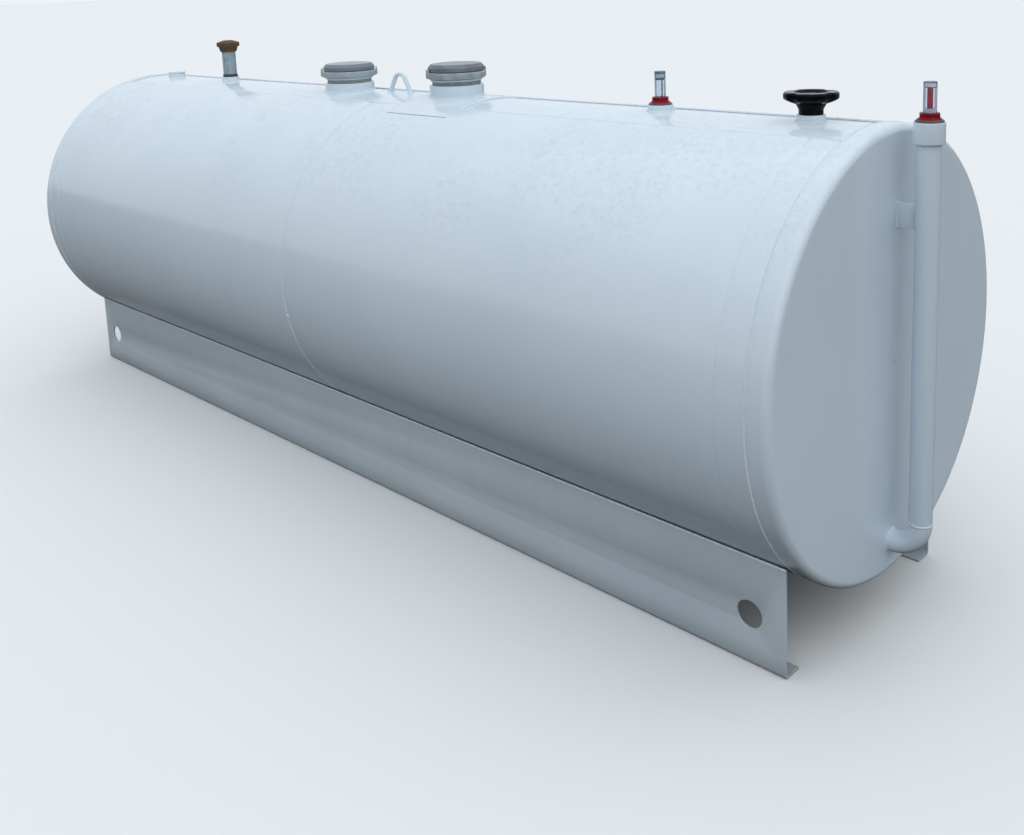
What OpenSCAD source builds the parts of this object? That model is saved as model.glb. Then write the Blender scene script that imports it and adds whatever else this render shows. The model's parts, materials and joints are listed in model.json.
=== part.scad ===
// Double-wall horizontal storage tank with flat heads, on a full-length steel skid.
// X runs along the tank towards the head that carries the monitor pipe, and Z is up.
// The origin is on the ground, in the middle of the tank and its monitor pipe.

/* [Tank] */
// Outside diameter of the tank
tank_d = 1219.2; // [1100:0.1:1400]
// Length over the two flat heads
tank_len = 3962.4; // [3800:0.1:5200]
// Height of the tank's underside above the ground
tank_lift = 152.4; // [110:0.1:250]
// Plate thickness of the outer wrap
wrap_wall = 3.4; // [2.6:0.1:4.4]
// Plate thickness of the inner shell
shell_wall = 4.8; // [3:0.1:9]
// Plate thickness of the flat heads
head_wall = 6.4; // [5.2:0.1:9]
// Depth of a head from its face to its seam
head_depth = 64; // [56:1:110]
// Outside radius of the knuckle round a head
head_knuckle = 40; // [20:1:50]
// Distance that the inner shell runs into the rim of a head
shell_lap = 14; // [6:1:24]
// Distance of the girth seam in front of the tank's middle
girth_x = 38; // [-120:1:120]

/* [Bare strip along the crest] */
// Angle from the crest to the wrap's edge on the near side
strip_near = 16; // [14:0.5:20]
// Angle from the crest to the wrap's edge on the far side
strip_far = 11; // [11:0.5:20]
// Width of the bar that closes the space between the walls at the wrap's edges
closure_w = 12; // [6:1:25]
// Back edge of the plate round the front vent, from the tank's middle
pad_x = 206; // [190:1:215]
// Length of the plate round the front vent
pad_len = 305; // [260:1:360]
// Angle from the crest to the edges of that plate
pad_angle = 22; // [20.5:0.5:28]

/* [Pipe couplings] */
// Outside diameter of the pipe that the small fittings are made for
pipe_d = 60.3; // [48:0.1:64]
// Wall of that pipe
pipe_wall = 3.9; // [2.5:0.1:6]
// Wall of a coupling outside its pipe
coupling_wall = 8.2; // [6:0.1:12]
// Height of a coupling above the crest of the inner shell
coupling_rise = 18; // [12:0.5:30]
// Length of a coupling in the crest
coupling_len = 44; // [34:1:60]
// Depth that a fitting reaches into its coupling
thread_depth = 20; // [12:0.5:24]
// Distance from each head face to the end coupling in the crest
end_inset = 247; // [150:1:300]
// Distance from each head face to the next coupling in the crest
next_inset = 750; // [600:1:900]

/* [Pressure vents] */
// Distance of each vent from the tank's middle
vent_x = 320; // [310:1:340]
// Outside diameter of a vent's coupling
vent_coupling_d = 194; // [190:0.5:204]
// Diameter of a vent's thread
vent_thread_d = 168.3; // [160:0.1:172]
// Height of the rear vent's coupling above the crest of the inner shell
rear_vent_rise = 28; // [20:1:50]
// Height of the front vent's coupling above that crest
front_vent_rise = 44; // [30:1:60]
// Length of a vent's coupling
vent_coupling_len = 64; // [50:1:80]
// Diameter of a vent's neck
vent_neck_d = 174; // [170:0.5:186]
// Height of a vent's neck
vent_neck_h = 17; // [10:0.5:30]
// Height of the flare between the neck and the rim
vent_flare_h = 11; // [8:0.5:20]
// Width of the eight-sided rim over its corners
vent_rim_d = 226; // [224:1:230]
// Height of the rim up to its floor
vent_rim_h = 18; // [14:0.5:30]
// Height of the two ears that keep the cover in the middle
vent_ear_h = 12; // [6:0.5:14]
// Width of an ear
vent_ear_w = 26; // [16:1:30]
// Distance of an ear's outer face from the corner that it stands on
vent_ear_set = 2; // [1:0.5:3]
// Distance between the cover and the ears
vent_ear_gap = 5.2; // [5:0.1:6]
// Outside diameter of the seat under the cover
vent_seat_d = 166; // [152:1:180]
// Height of the seat above the rim's floor
vent_seat_h = 2; // [1:0.5:4]
// Angle that the rear vent's body is turned through
rear_vent_turn = 4; // [0:1:44]
// Angle that the front vent's body is turned through
front_vent_turn = 20; // [0:1:44]
// Clear way through a vent
vent_bore_d = 140; // [110:1:146]
// Diameter of a cover
vent_cover_d = 202; // [190:1:204]
// Height of a cover's upright edge
vent_cover_edge = 15; // [12:0.5:30]
// Height and width of the bevel above that edge
vent_cover_bevel = 12; // [6:0.5:16]
// Rise of the cover's crown above the bevel
vent_cover_crown = 3.5; // [1:0.5:8]
// Distance that a cover can lift
vent_lift = 38; // [20:1:50]
// Diameter of the stem that guides a cover
vent_stem_d = 16; // [10:0.5:24]
// Clearance between the stem and its guide
vent_stem_play = 0.4; // [0.2:0.1:1]
// Wall of the hub that guides the stem
vent_hub_wall = 9; // [5:0.5:14]
// Height of the hub and of the bar that carries it
vent_hub_h = 14; // [10:0.5:20]
// Width of that bar
vent_arm_w = 14; // [8:0.5:24]
// Height of the nut at the foot of the stem
vent_stop_h = 6; // [4:0.5:12]

/* [Lifting lug] */
// Diameter of the lug's round bar
lug_bar_d = 17; // [12:0.5:22]
// Width of the lug over its feet
lug_w = 138; // [110:1:160]
// Height of the lug above the crest of the inner shell
lug_h = 78; // [70:1:110]
// Radius of the bend, at the middle of the bar
lug_bend = 34; // [26:0.5:40]
// Amount that the bar's radius draws in round the bend
lug_draw = 0.2; // [0.15:0.05:0.6]

/* [Riser] */
// Height of the riser pipe above the crest of the inner shell, up to its cap
riser_h = 132; // [60:1:400]
// Diameter of the cap's collar at its foot
riser_collar_d = 71; // [69:1:80]
// Diameter of the collar under the hood
riser_collar_top_d = 86; // [80:1:93]
// Height of the cap's collar
riser_collar_h = 24; // [15:1:40]
// Diameter of the cap's hood
riser_hood_d = 102; // [94:1:130]
// Height of the upright edge of the hood
riser_hood_h = 18; // [10:1:30]
// Height of the hood's sloping top
riser_hood_top = 10; // [4:1:25]
// Diameter of the flat on that top
riser_flat_d = 40; // [20:1:80]

/* [Gauges] */
// Diameter of the dark ring under a gauge, at its foot
gauge_ring_d = 72; // [66:0.5:80]
// Diameter of the ring at its top
gauge_ring_top_d = 64; // [62:0.5:66]
// Height of that ring
gauge_ring_h = 6; // [4:0.5:20]
// Diameter of the flared foot of a gauge body
gauge_foot_d = 60; // [56:0.5:62]
// Height of that foot
gauge_foot_h = 5; // [3:0.5:15]
// Width of a gauge's hexagon over its corners
gauge_hex_d = 53; // [44:0.5:56]
// Height of the hexagon
gauge_hex_h = 12; // [8:0.5:20]
// Outside diameter of the clear tube
gauge_tube_d = 32.5; // [28:0.5:38]
// Wall of the clear tube
gauge_tube_wall = 3; // [2:0.1:4.5]
// Height of the clear tube with its top
gauge_tube_h = 77; // [60:1:120]
// Thickness of the level gauge tube's top
level_tube_top = 20; // [4:0.5:24]
// Thickness of the leak gauge tube's top
leak_tube_top = 13; // [4:0.5:24]
// Diameter of the leak gauge's indicator
indicator_d = 14; // [8:0.5:18]
// Diameter of the level gauge's pointer disc
pointer_d = 24; // [16:0.5:25]
// Thickness of the pointer disc
pointer_h = 4; // [3:0.5:10]
// Diameter of the rod that carries the pointer disc
pointer_rod_d = 4; // [3:0.5:6]
// Distance of that rod from the tube's axis
pointer_rod_off = 5.5; // [0:0.5:8]

/* [Filler] */
// Diameter of the black neck
fill_neck_d = 65; // [62:0.5:72]
// Height of the neck's upright part
fill_neck_h = 14; // [8:0.5:30]
// Height of the flare above it
fill_flare_h = 14; // [6:0.5:25]
// Diameter at the top of the flare
fill_flare_d = 80; // [74:1:86]
// Height of the cap's sloping underside, out to the tips of its lobes
fill_under_h = 13; // [8:0.5:16]
// Diameter over the cap's lobes
fill_cap_d = 146; // [130:1:170]
// Height of the cap with its underside
fill_cap_h = 33; // [26:1:40]
// Number of lobes
fill_lobes = 4; // [3:1:6]
// Diameter of the round notches between the lobes
fill_notch_d = 36; // [20:1:44]
// Depth of those notches
fill_notch = 12; // [6:0.5:14]
// Angle from the tank's length to the middle of the first lobe
fill_turn = 30; // [0:1:90]
// Diameter of the hollow in the top of the cap
fill_dish_d = 88; // [60:1:92]
// Depth of that hollow
fill_dish_h = 6; // [2:0.5:10]
// Bevel along the cap's top edge
fill_bevel = 6; // [2:0.5:8]

/* [Monitor pipe] */
// Distance from the front head's face to the axis of the monitor pipe
monitor_offset = 78.8; // [77:0.1:110]
// Bend radius of the elbow at its foot
elbow_bend = 74; // [60:0.5:76]
// Height of the elbow's inlet above the tank's underside
inlet_h = 92; // [85:1:200]
// Distance that the elbow's stub reaches inside the head
inlet_reach = 6; // [2:1:15]
// Length of the coupling on top of the pipe
monitor_coupling_len = 54; // [50:1:90]
// Height of the bracket's middle above the tank's axis
bracket_z = 377; // [0:1:450]
// Height of the bracket
bracket_h = 64; // [30:1:120]
// Thickness of the bracket
bracket_wall = 6.4; // [3:0.1:12]

/* [Plug] */
// Diameter of the plug's flange
plug_flange_d = 80; // [70:0.5:90]
// Height of the flange
plug_flange_h = 7; // [4:0.5:12]
// Width of the square socket in the plug
plug_socket_w = 24; // [16:0.5:30]
// Depth of that socket
plug_socket_h = 11; // [6:0.5:16]

/* [Skid] */
// Width over the two skid plates
skid_w = 812.8; // [700:0.1:900]
// Distance from each head face back to the end of the skid
skid_inset = 76.2; // [20:0.1:200]
// Plate thickness of the skid
skid_wall = 6.4; // [4:0.1:10]
// Width of the flange turned in along the foot of a skid plate
skid_flange = 64; // [40:1:110]
// Inside radius of the bend between plate and flange
skid_bend = 6; // [2:0.5:12]
// Diameter of the tie-down hole near each end
tie_hole_d = 76.2; // [40:0.1:90]
// Distance from the end of the skid to the hole's centre
tie_hole_inset = 106; // [70:1:200]
// Height of the hole's centre above the ground
tie_hole_z = 140; // [90:1:180]
// Plate thickness of the saddles between the skid plates
saddle_wall = 6.4; // [4:0.1:12]
// Distance of the end saddles from the tank's middle
saddle_x = 1300; // [800:1:1500]

// Distance between the skid's bend and the cut corners of the saddles
snipe_gap = 6; // [3:0.5:12]

/* [Fits] */
// Clearance where a curved face seats on another
seat_gap = 0.3; // [0.2:0.05:0.5]
// Gap between two ends that meet in a coupling, and between a moving piece and its stop
end_gap = 2; // [1:0.5:4]

/* [Hidden] */
$fn = 96;
tank_r = tank_d / 2;
shell_r = tank_r - head_wall - seat_gap;
half_len = tank_len / 2;
seam_x = half_len - head_depth;
axis_z = tank_lift + tank_r;
end_x = half_len - end_inset;
next_x = half_len - next_inset;
pipe_r = pipe_d / 2;
socket_r = pipe_r + seat_gap;
coupling_r = pipe_r + coupling_wall;
vent_coupling_r = vent_coupling_d / 2;
vent_socket_r = vent_thread_d / 2 + seat_gap;
vent_bore_r = vent_bore_d / 2;
vent_flare_z = vent_neck_h + vent_flare_h;
vent_floor_z = vent_flare_z + vent_rim_h;
vent_seat_z = vent_floor_z + vent_seat_h;
vent_ear_z = vent_floor_z + vent_ear_h;
vent_hub_r = vent_stem_d / 2 + vent_hub_wall;
closure_angle = closure_w / tank_r * 180 / PI;
// The tank sits back by half the monitor pipe's reach, so that the origin is in the middle.
tank_x = -(monitor_offset + coupling_r) / 2;
monitor_x = half_len + monitor_offset;
coupling_top = shell_r + coupling_rise;
gauge_hex_z = gauge_ring_h + gauge_foot_h;
gauge_tube_z = gauge_hex_z + gauge_hex_h;
skid_half = half_len - skid_inset;
skid_web_y = skid_w / 2 - skid_wall;
skid_top = axis_z - sqrt(pow(tank_r + seat_gap, 2) - pow(skid_web_y, 2));
saddle_snipe = skid_bend + snipe_gap;
// Overlap of bodies that are joined, and overrun of cuts.
over = 1;
paint = [0.84, 0.87, 0.89];
skid_paint = [0.62, 0.65, 0.67];
weathered = [0.52, 0.55, 0.57];
galvanised = [0.58, 0.63, 0.66];
rust = [0.36, 0.27, 0.2];
gauge_red = [0.6, 0.05, 0.09];
dark_ring = [0.2, 0.23, 0.24];
clear = [0.8, 0.88, 0.92, 0.35];
black = [0.06, 0.06, 0.08];

// Puts a piece that is drawn round the tank's axis in its place.
module on_axis(x = 0) {
    translate([tank_x, 0, axis_z]) translate([x, 0, 0]) children();
}

// Stands an outline, drawn in Y and Z, up across the tank and runs it along X.
module along_x(from, to) {
    translate([from, 0, 0]) rotate([90, 0, 90]) linear_extrude(to - from) children();
}

module tube(r, wall, h) {
    difference() {
        cylinder(r = r, h = h);
        translate([0, 0, -over]) cylinder(r = r - wall, h = h + 2 * over);
    }
}

// Wedge seen along the tank, between two angles from the crest, plus towards the far side.
module wedge(from, to) {
    reach = 2 * tank_d;
    polygon([[0, 0], reach * [sin(from), cos(from)], reach * [sin(to), cos(to)]]);
}

module ring(inner, outer) {
    difference() {
        circle(outer);
        circle(inner);
    }
}

// The openings in the inner shell, one for each coupling in the crest.
module crest_holes() {
    for (x = [-end_x, -next_x, next_x, end_x])
        translate([x, 0, 0]) cylinder(r = coupling_r + seat_gap, h = tank_r + over);
    for (x = [-vent_x, vent_x])
        translate([x, 0, 0]) cylinder(r = vent_coupling_r + seat_gap, h = tank_r + over);
}

module primary_shell() {
    reach = seam_x + shell_lap;
    color(paint) on_axis() difference() {
        along_x(-reach, reach) ring(shell_r - shell_wall, shell_r);
        crest_holes();
    }
}

// One course of the outer wrap: a plate rolled round the inner shell, open along the
// crest, with a bar under each of its long edges.
module wrap_course(from, to) {
    along_x(from, to) {
        difference() {
            ring(tank_r - wrap_wall, tank_r);
            wedge(-strip_near, strip_far);
        }
        intersection() {
            ring(shell_r + seat_gap, tank_r);
            wedge(-strip_near - closure_angle, -strip_near);
        }
        intersection() {
            ring(shell_r + seat_gap, tank_r);
            wedge(strip_far, strip_far + closure_angle);
        }
    }
}

module wrap_rear() {
    color(paint) on_axis() wrap_course(-seam_x, girth_x);
}

module wrap_front() {
    color(paint) on_axis() difference() {
        wrap_course(girth_x, seam_x);
        along_x(pad_x - seat_gap, pad_x + pad_len + seat_gap)
            wedge(-pad_angle - seat_gap, pad_angle + seat_gap);
    }
}

// Section of a flanged flat head: face, knuckle and straight rim.
module head_section(r, depth, knuckle) {
    square([r - knuckle, depth]);
    square([r, depth - knuckle]);
    translate([r - knuckle, depth - knuckle]) circle(knuckle);
}

module flat_head() {
    rotate([0, 90, 0]) rotate_extrude($fn = 180) difference() {
        intersection() {
            head_section(tank_r, head_depth, head_knuckle);
            square([tank_r, head_depth]);
        }
        translate([0, -over])
            head_section(tank_r - head_wall, head_depth - head_wall + over, head_knuckle - head_wall);
    }
}

module head_rear() {
    color(paint) on_axis(-seam_x) mirror([1, 0, 0]) flat_head();
}

module head_front() {
    color(paint) on_axis(seam_x) difference() {
        flat_head();
        translate([0, 0, inlet_h - tank_r]) rotate([0, 90, 0])
            cylinder(r = socket_r, h = head_depth + over);
    }
}

// Plate let into the wrap round the front vent, closed down to the inner shell at its ends.
module vent_pad() {
    color(paint) on_axis() difference() {
        union() {
            along_x(pad_x, pad_x + pad_len) intersection() {
                ring(tank_r - wrap_wall, tank_r);
                wedge(-pad_angle, pad_angle);
            }
            for (x = [pad_x, pad_x + pad_len - closure_w])
                along_x(x, x + closure_w) intersection() {
                    ring(shell_r + seat_gap, tank_r);
                    wedge(-pad_angle, pad_angle);
                }
        }
        translate([vent_x, 0, 0]) cylinder(r = vent_coupling_r + seat_gap, h = tank_r + over);
    }
}

// Bent round bar: two leaning legs and the bend that joins them.
module lifting_lug() {
    bar_r = lug_bar_d / 2;
    bend_z = lug_h - bar_r - lug_bend;
    foot = (lug_w - lug_bar_d) / 2;
    run = sqrt(foot * foot + bend_z * bend_z);
    lean = acos(lug_bend / run) - atan2(bend_z, foot);
    leg = sqrt(run * run - lug_bend * lug_bend) + lug_bar_d;
    color(paint) on_axis() difference() {
        translate([0, 0, shell_r + bend_z]) {
            rotate([90, 0, 0]) rotate([0, 0, lean])
                rotate_extrude(angle = 180 - 2 * lean)
                    translate([lug_bend, 0]) circle(bar_r - lug_draw);
            for (turn = [0, 180])
                rotate([0, 0, turn]) translate([lug_bend * cos(lean), 0, lug_bend * sin(lean)])
                    rotate([0, 180 - lean, 0]) translate([0, 0, -over])
                        cylinder(r = bar_r, h = leg + over);
        }
        along_x(-lug_w, lug_w) circle(shell_r + seat_gap);
    }
}

// Coupling welded into the crest, seen from its top downwards.
module crest_coupling(x) {
    color(paint) on_axis(x) translate([0, 0, coupling_top - coupling_len])
        tube(coupling_r, coupling_r - socket_r, coupling_len);
}

module plug_coupling() {
    crest_coupling(-end_x);
}

// Low flanged plug, turned by a square socket.
module plug() {
    color(paint) on_axis(-end_x) translate([0, 0, coupling_top]) difference() {
        union() {
            translate([0, 0, -thread_depth]) cylinder(r = pipe_r, h = thread_depth + over);
            cylinder(d = plug_flange_d, h = plug_flange_h);
        }
        translate([-plug_socket_w / 2, -plug_socket_w / 2, plug_flange_h - plug_socket_h])
            cube([plug_socket_w, plug_socket_w, plug_socket_h + over]);
    }
}

module riser_coupling() {
    crest_coupling(-next_x);
}

module riser_pipe() {
    bottom = coupling_top - thread_depth;
    color(galvanised) on_axis(-next_x) translate([0, 0, bottom])
        tube(pipe_r, pipe_wall, shell_r + riser_h + thread_depth - bottom);
}

// Weather cap: a tapered collar over the pipe's end and a wider hood on it.
module riser_cap() {
    color(rust) on_axis(-next_x) translate([0, 0, shell_r + riser_h]) difference() {
        union() {
            cylinder(d1 = riser_collar_d, d2 = riser_collar_top_d, h = riser_collar_h);
            translate([0, 0, riser_collar_h - over])
                cylinder(d = riser_hood_d, h = riser_hood_h + over);
            translate([0, 0, riser_collar_h + riser_hood_h])
                cylinder(d1 = riser_hood_d, d2 = riser_flat_d, h = riser_hood_top);
        }
        translate([0, 0, -over]) cylinder(r = socket_r, h = thread_depth + over);
    }
}

// Places a vent's pieces, from the top of its coupling upwards.
module vent_at(x, rise) {
    on_axis(x) translate([0, 0, shell_r + rise]) children();
}

module vent_coupling(x, rise) {
    color(paint) vent_at(x, rise) translate([0, 0, -vent_coupling_len])
        tube(vent_coupling_r, vent_coupling_r - vent_socket_r, vent_coupling_len);
}

// Eight-sided rim on a round flare, with the seat on its floor and an ear on two corners.
module vent_rim() {
    rim_r = vent_rim_d / 2;
    ear_r = rim_r - vent_ear_set;
    intersection() {
        union() {
            translate([0, 0, vent_neck_h]) cylinder(r = rim_r, h = vent_floor_z - vent_neck_h, $fn = 8);
            intersection() {
                translate([0, 0, vent_floor_z - over]) cylinder(r = rim_r, h = vent_ear_h + over, $fn = 8);
                difference() {
                    rotate([0, 0, 45]) translate([-ear_r, -vent_ear_w / 2, vent_floor_z - over])
                        cube([2 * ear_r, vent_ear_w, vent_ear_h + over]);
                    translate([0, 0, vent_floor_z - 2 * over])
                        cylinder(r = vent_cover_d / 2 + vent_ear_gap, h = vent_ear_h + 3 * over);
                }
            }
        }
        rotate_extrude() polygon([
            [0, vent_neck_h], [vent_neck_d / 2, vent_neck_h], [rim_r + over, vent_flare_z],
            [rim_r + over, vent_ear_z + over], [0, vent_ear_z + over]
        ]);
    }
    translate([0, 0, vent_floor_z - over]) cylinder(d = vent_seat_d, h = vent_seat_h + over);
}

// Cast vent body: thread, neck and rim, with a bar and hub across it for the stem.
module vent_body(x, rise, turn) {
    color(weathered) vent_at(x, rise) rotate([0, 0, turn]) difference() {
        union() {
            difference() {
                union() {
                    translate([0, 0, -thread_depth]) cylinder(d = vent_thread_d, h = thread_depth + over);
                    cylinder(d = vent_neck_d, h = vent_neck_h + over);
                    vent_rim();
                }
                translate([0, 0, -thread_depth - over])
                    cylinder(r = vent_bore_r, h = thread_depth + vent_ear_z + 2 * over);
            }
            translate([0, 0, -thread_depth]) cylinder(r = vent_hub_r, h = vent_hub_h);
            translate([-vent_bore_r - over, -vent_arm_w / 2, -thread_depth])
                cube([vent_bore_d + 2 * over, vent_arm_w, vent_hub_h]);
        }
        translate([0, 0, -thread_depth - over])
            cylinder(r = vent_stem_d / 2 + vent_stem_play, h = vent_hub_h + 2 * over);
    }
}

// Stem under a cover, with the nut that stops the lift.
module vent_stem(x, rise) {
    top = vent_seat_z + seat_gap;
    bottom = -thread_depth - vent_lift - end_gap - vent_stop_h;
    color(weathered) vent_at(x, rise) translate([0, 0, bottom]) {
        cylinder(d = vent_stem_d, h = top - bottom);
        cylinder(r = vent_hub_r, h = vent_stop_h);
    }
}

module vent_cover(x, rise) {
    r = vent_cover_d / 2;
    color(weathered) vent_at(x, rise) translate([0, 0, vent_seat_z + seat_gap])
        rotate_extrude() polygon([
            [0, 0], [r, 0], [r, vent_cover_edge],
            [r - vent_cover_bevel, vent_cover_edge + vent_cover_bevel],
            [0, vent_cover_edge + vent_cover_bevel + vent_cover_crown]
        ]);
}

module rear_vent_coupling() {
    vent_coupling(-vent_x, rear_vent_rise);
}

module rear_vent_body() {
    vent_body(-vent_x, rear_vent_rise, rear_vent_turn);
}

module rear_vent_stem() {
    vent_stem(-vent_x, rear_vent_rise);
}

module rear_vent_cover() {
    vent_cover(-vent_x, rear_vent_rise);
}

module front_vent_coupling() {
    vent_coupling(vent_x, front_vent_rise);
}

module front_vent_body() {
    vent_body(vent_x, front_vent_rise, front_vent_turn);
}

module front_vent_stem() {
    vent_stem(vent_x, front_vent_rise);
}

module front_vent_cover() {
    vent_cover(vent_x, front_vent_rise);
}

// Places the level gauge in the crest, and the leak gauge on the monitor pipe.
module gauge_at(x) {
    on_axis(x) translate([0, 0, coupling_top]) children();
}

module ring_under_gauge(x) {
    color(dark_ring) gauge_at(x) difference() {
        union() {
            cylinder(d1 = gauge_ring_d, d2 = gauge_ring_top_d, h = gauge_ring_h);
            translate([0, 0, -thread_depth]) cylinder(r = pipe_r, h = thread_depth + over);
        }
        translate([0, 0, -thread_depth - over])
            cylinder(r = pipe_r - pipe_wall, h = thread_depth + gauge_ring_h + 2 * over);
    }
}

module body_of_gauge(x) {
    color(gauge_red) gauge_at(x) translate([0, 0, gauge_ring_h]) {
        cylinder(d1 = gauge_foot_d, d2 = gauge_hex_d, h = gauge_foot_h);
        translate([0, 0, gauge_foot_h - over]) cylinder(d = gauge_hex_d, h = gauge_hex_h + over, $fn = 6);
    }
}

module tube_of_gauge(x, top) {
    color(clear) gauge_at(x) translate([0, 0, gauge_tube_z]) difference() {
        cylinder(d = gauge_tube_d, h = gauge_tube_h);
        translate([0, 0, -over])
            cylinder(d = gauge_tube_d - 2 * gauge_tube_wall, h = gauge_tube_h - top + over);
    }
}

module gauge_coupling() {
    crest_coupling(next_x);
}

module gauge_ring() {
    ring_under_gauge(next_x);
}

module gauge_body() {
    body_of_gauge(next_x);
}

module gauge_tube() {
    tube_of_gauge(next_x, level_tube_top);
}

module gauge_pointer() {
    room = gauge_tube_h - level_tube_top - end_gap;
    color(gauge_red) gauge_at(next_x) translate([0, 0, gauge_tube_z]) {
        rotate([0, 0, 45]) translate([pointer_rod_off, 0, 0]) cylinder(d = pointer_rod_d, h = room);
        translate([0, 0, room - pointer_h]) cylinder(d = pointer_d, h = pointer_h);
    }
}

module fill_coupling() {
    crest_coupling(end_x);
}

module fill_neck() {
    color(black) on_axis(end_x) translate([0, 0, coupling_top]) {
        translate([0, 0, -thread_depth]) cylinder(r = pipe_r, h = thread_depth + over);
        cylinder(d = fill_neck_d, h = fill_neck_h);
        translate([0, 0, fill_neck_h]) cylinder(d1 = fill_neck_d, d2 = fill_flare_d, h = fill_flare_h);
    }
}

// Screw cap with broad lobes round its edge, a sloping underside and a dished top.
module fill_cap() {
    cap_r = fill_cap_d / 2;
    notch_at = cap_r - fill_notch + fill_notch_d / 2;
    color(black) on_axis(end_x) translate([0, 0, coupling_top + fill_neck_h + fill_flare_h])
        difference() {
            rotate_extrude() polygon([
                [0, 0], [fill_flare_d / 2, 0], [cap_r, fill_under_h], [cap_r, fill_cap_h - fill_bevel],
                [cap_r - fill_bevel, fill_cap_h], [0, fill_cap_h]
            ]);
            for (i = [0 : fill_lobes - 1])
                rotate([0, 0, fill_turn + 360 / fill_lobes * (i + 0.5)]) translate([notch_at, 0, -over])
                    cylinder(d = fill_notch_d, h = fill_cap_h + 2 * over);
            translate([0, 0, fill_cap_h - fill_dish_h]) cylinder(d = fill_dish_d, h = fill_dish_h + over);
        }
}

// Elbow at the foot of the monitor pipe, with the stub that enters the front head.
module monitor_elbow() {
    stub = monitor_offset - elbow_bend + head_wall + inlet_reach;
    color(paint) on_axis(monitor_x - elbow_bend) translate([0, 0, inlet_h - tank_r]) {
        translate([0, 0, elbow_bend]) rotate([90, 0, 0]) rotate([0, 0, -90])
            rotate_extrude(angle = 90) translate([elbow_bend, 0]) ring(pipe_r - pipe_wall, pipe_r);
        translate([-stub, 0, 0]) rotate([0, 90, 0]) tube(pipe_r, pipe_wall, stub);
    }
}

module monitor_pipe() {
    bottom = inlet_h - tank_r + elbow_bend;
    top = coupling_top - thread_depth - end_gap;
    color(paint) on_axis(monitor_x) translate([0, 0, bottom]) tube(pipe_r, pipe_wall, top - bottom);
}

module monitor_coupling() {
    color(paint) on_axis(monitor_x) translate([0, 0, coupling_top - monitor_coupling_len])
        tube(coupling_r, coupling_r - socket_r, monitor_coupling_len);
}

// Flat bar on edge between the front head and the monitor pipe.
module monitor_bracket() {
    color(paint) on_axis(half_len) difference() {
        translate([0, -bracket_wall / 2, bracket_z - bracket_h / 2])
            cube([monitor_offset, bracket_wall, bracket_h]);
        translate([monitor_offset, 0, bracket_z - bracket_h])
            cylinder(r = socket_r, h = 2 * bracket_h);
    }
}

module leak_ring() {
    ring_under_gauge(monitor_x);
}

module leak_body() {
    body_of_gauge(monitor_x);
}

module leak_tube() {
    tube_of_gauge(monitor_x, leak_tube_top);
}

module leak_indicator() {
    color(gauge_red) gauge_at(monitor_x) translate([0, 0, gauge_tube_z])
        cylinder(d = indicator_d, h = gauge_tube_h - leak_tube_top - end_gap);
}

// Section of a skid plate on the near side, seen from the front of the tank: an upright web
// with its foot turned in.
module skid_section() {
    outer = -skid_w / 2;
    bend_out = skid_bend + skid_wall;
    difference() {
        union() {
            translate([outer, bend_out]) square([skid_wall, skid_top - bend_out]);
            translate([outer + bend_out, 0]) square([skid_flange - bend_out, skid_wall]);
            intersection() {
                translate([outer + bend_out, bend_out]) circle(bend_out);
                translate([outer, 0]) square(bend_out);
            }
        }
        translate([outer + bend_out, bend_out]) circle(skid_bend);
    }
}

module skid_plate() {
    translate([tank_x, 0, 0]) difference() {
        along_x(-skid_half, skid_half) skid_section();
        for (side = [-1, 1])
            translate([side * (skid_half - tie_hole_inset), -skid_w / 2 - over, tie_hole_z])
                rotate([-90, 0, 0]) cylinder(d = tie_hole_d, h = skid_wall + 2 * over);
    }
}

module skid_near() {
    color(skid_paint) skid_plate();
}

module skid_far() {
    color(skid_paint) mirror([0, 1, 0]) skid_plate();
}

// Plate across the skid, hollowed to the tank and standing on the turned-in flanges.
module saddle(x) {
    low = skid_wall;
    color(skid_paint) translate([tank_x, 0, 0]) along_x(x - saddle_wall / 2, x + saddle_wall / 2)
        difference() {
            translate([-skid_web_y, low]) square([2 * skid_web_y, skid_top - low]);
            translate([0, axis_z]) circle(tank_r + seat_gap);
            for (side = [-1, 1])
                translate([side * skid_web_y, low]) rotate(45) square(saddle_snipe * sqrt(2), center = true);
        }
}

module saddle_rear() {
    saddle(-saddle_x);
}

module saddle_middle() {
    saddle(0);
}

module saddle_front() {
    saddle(saddle_x);
}

primary_shell();
wrap_rear();
wrap_front();
head_rear();
head_front();
vent_pad();
lifting_lug();
plug_coupling();
plug();
riser_coupling();
riser_pipe();
riser_cap();
rear_vent_coupling();
rear_vent_body();
rear_vent_stem();
rear_vent_cover();
front_vent_coupling();
front_vent_body();
front_vent_stem();
front_vent_cover();
gauge_coupling();
gauge_ring();
gauge_body();
gauge_tube();
gauge_pointer();
fill_coupling();
fill_neck();
fill_cap();
monitor_elbow();
monitor_pipe();
monitor_coupling();
monitor_bracket();
leak_ring();
leak_body();
leak_tube();
leak_indicator();
skid_near();
skid_far();
saddle_rear();
saddle_middle();
saddle_front();
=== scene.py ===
import json
from math import cos, dist, exp, pi, radians, sin, sqrt, tan
import bmesh
import bpy
from mathutils import Matrix, Vector, noise


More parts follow.
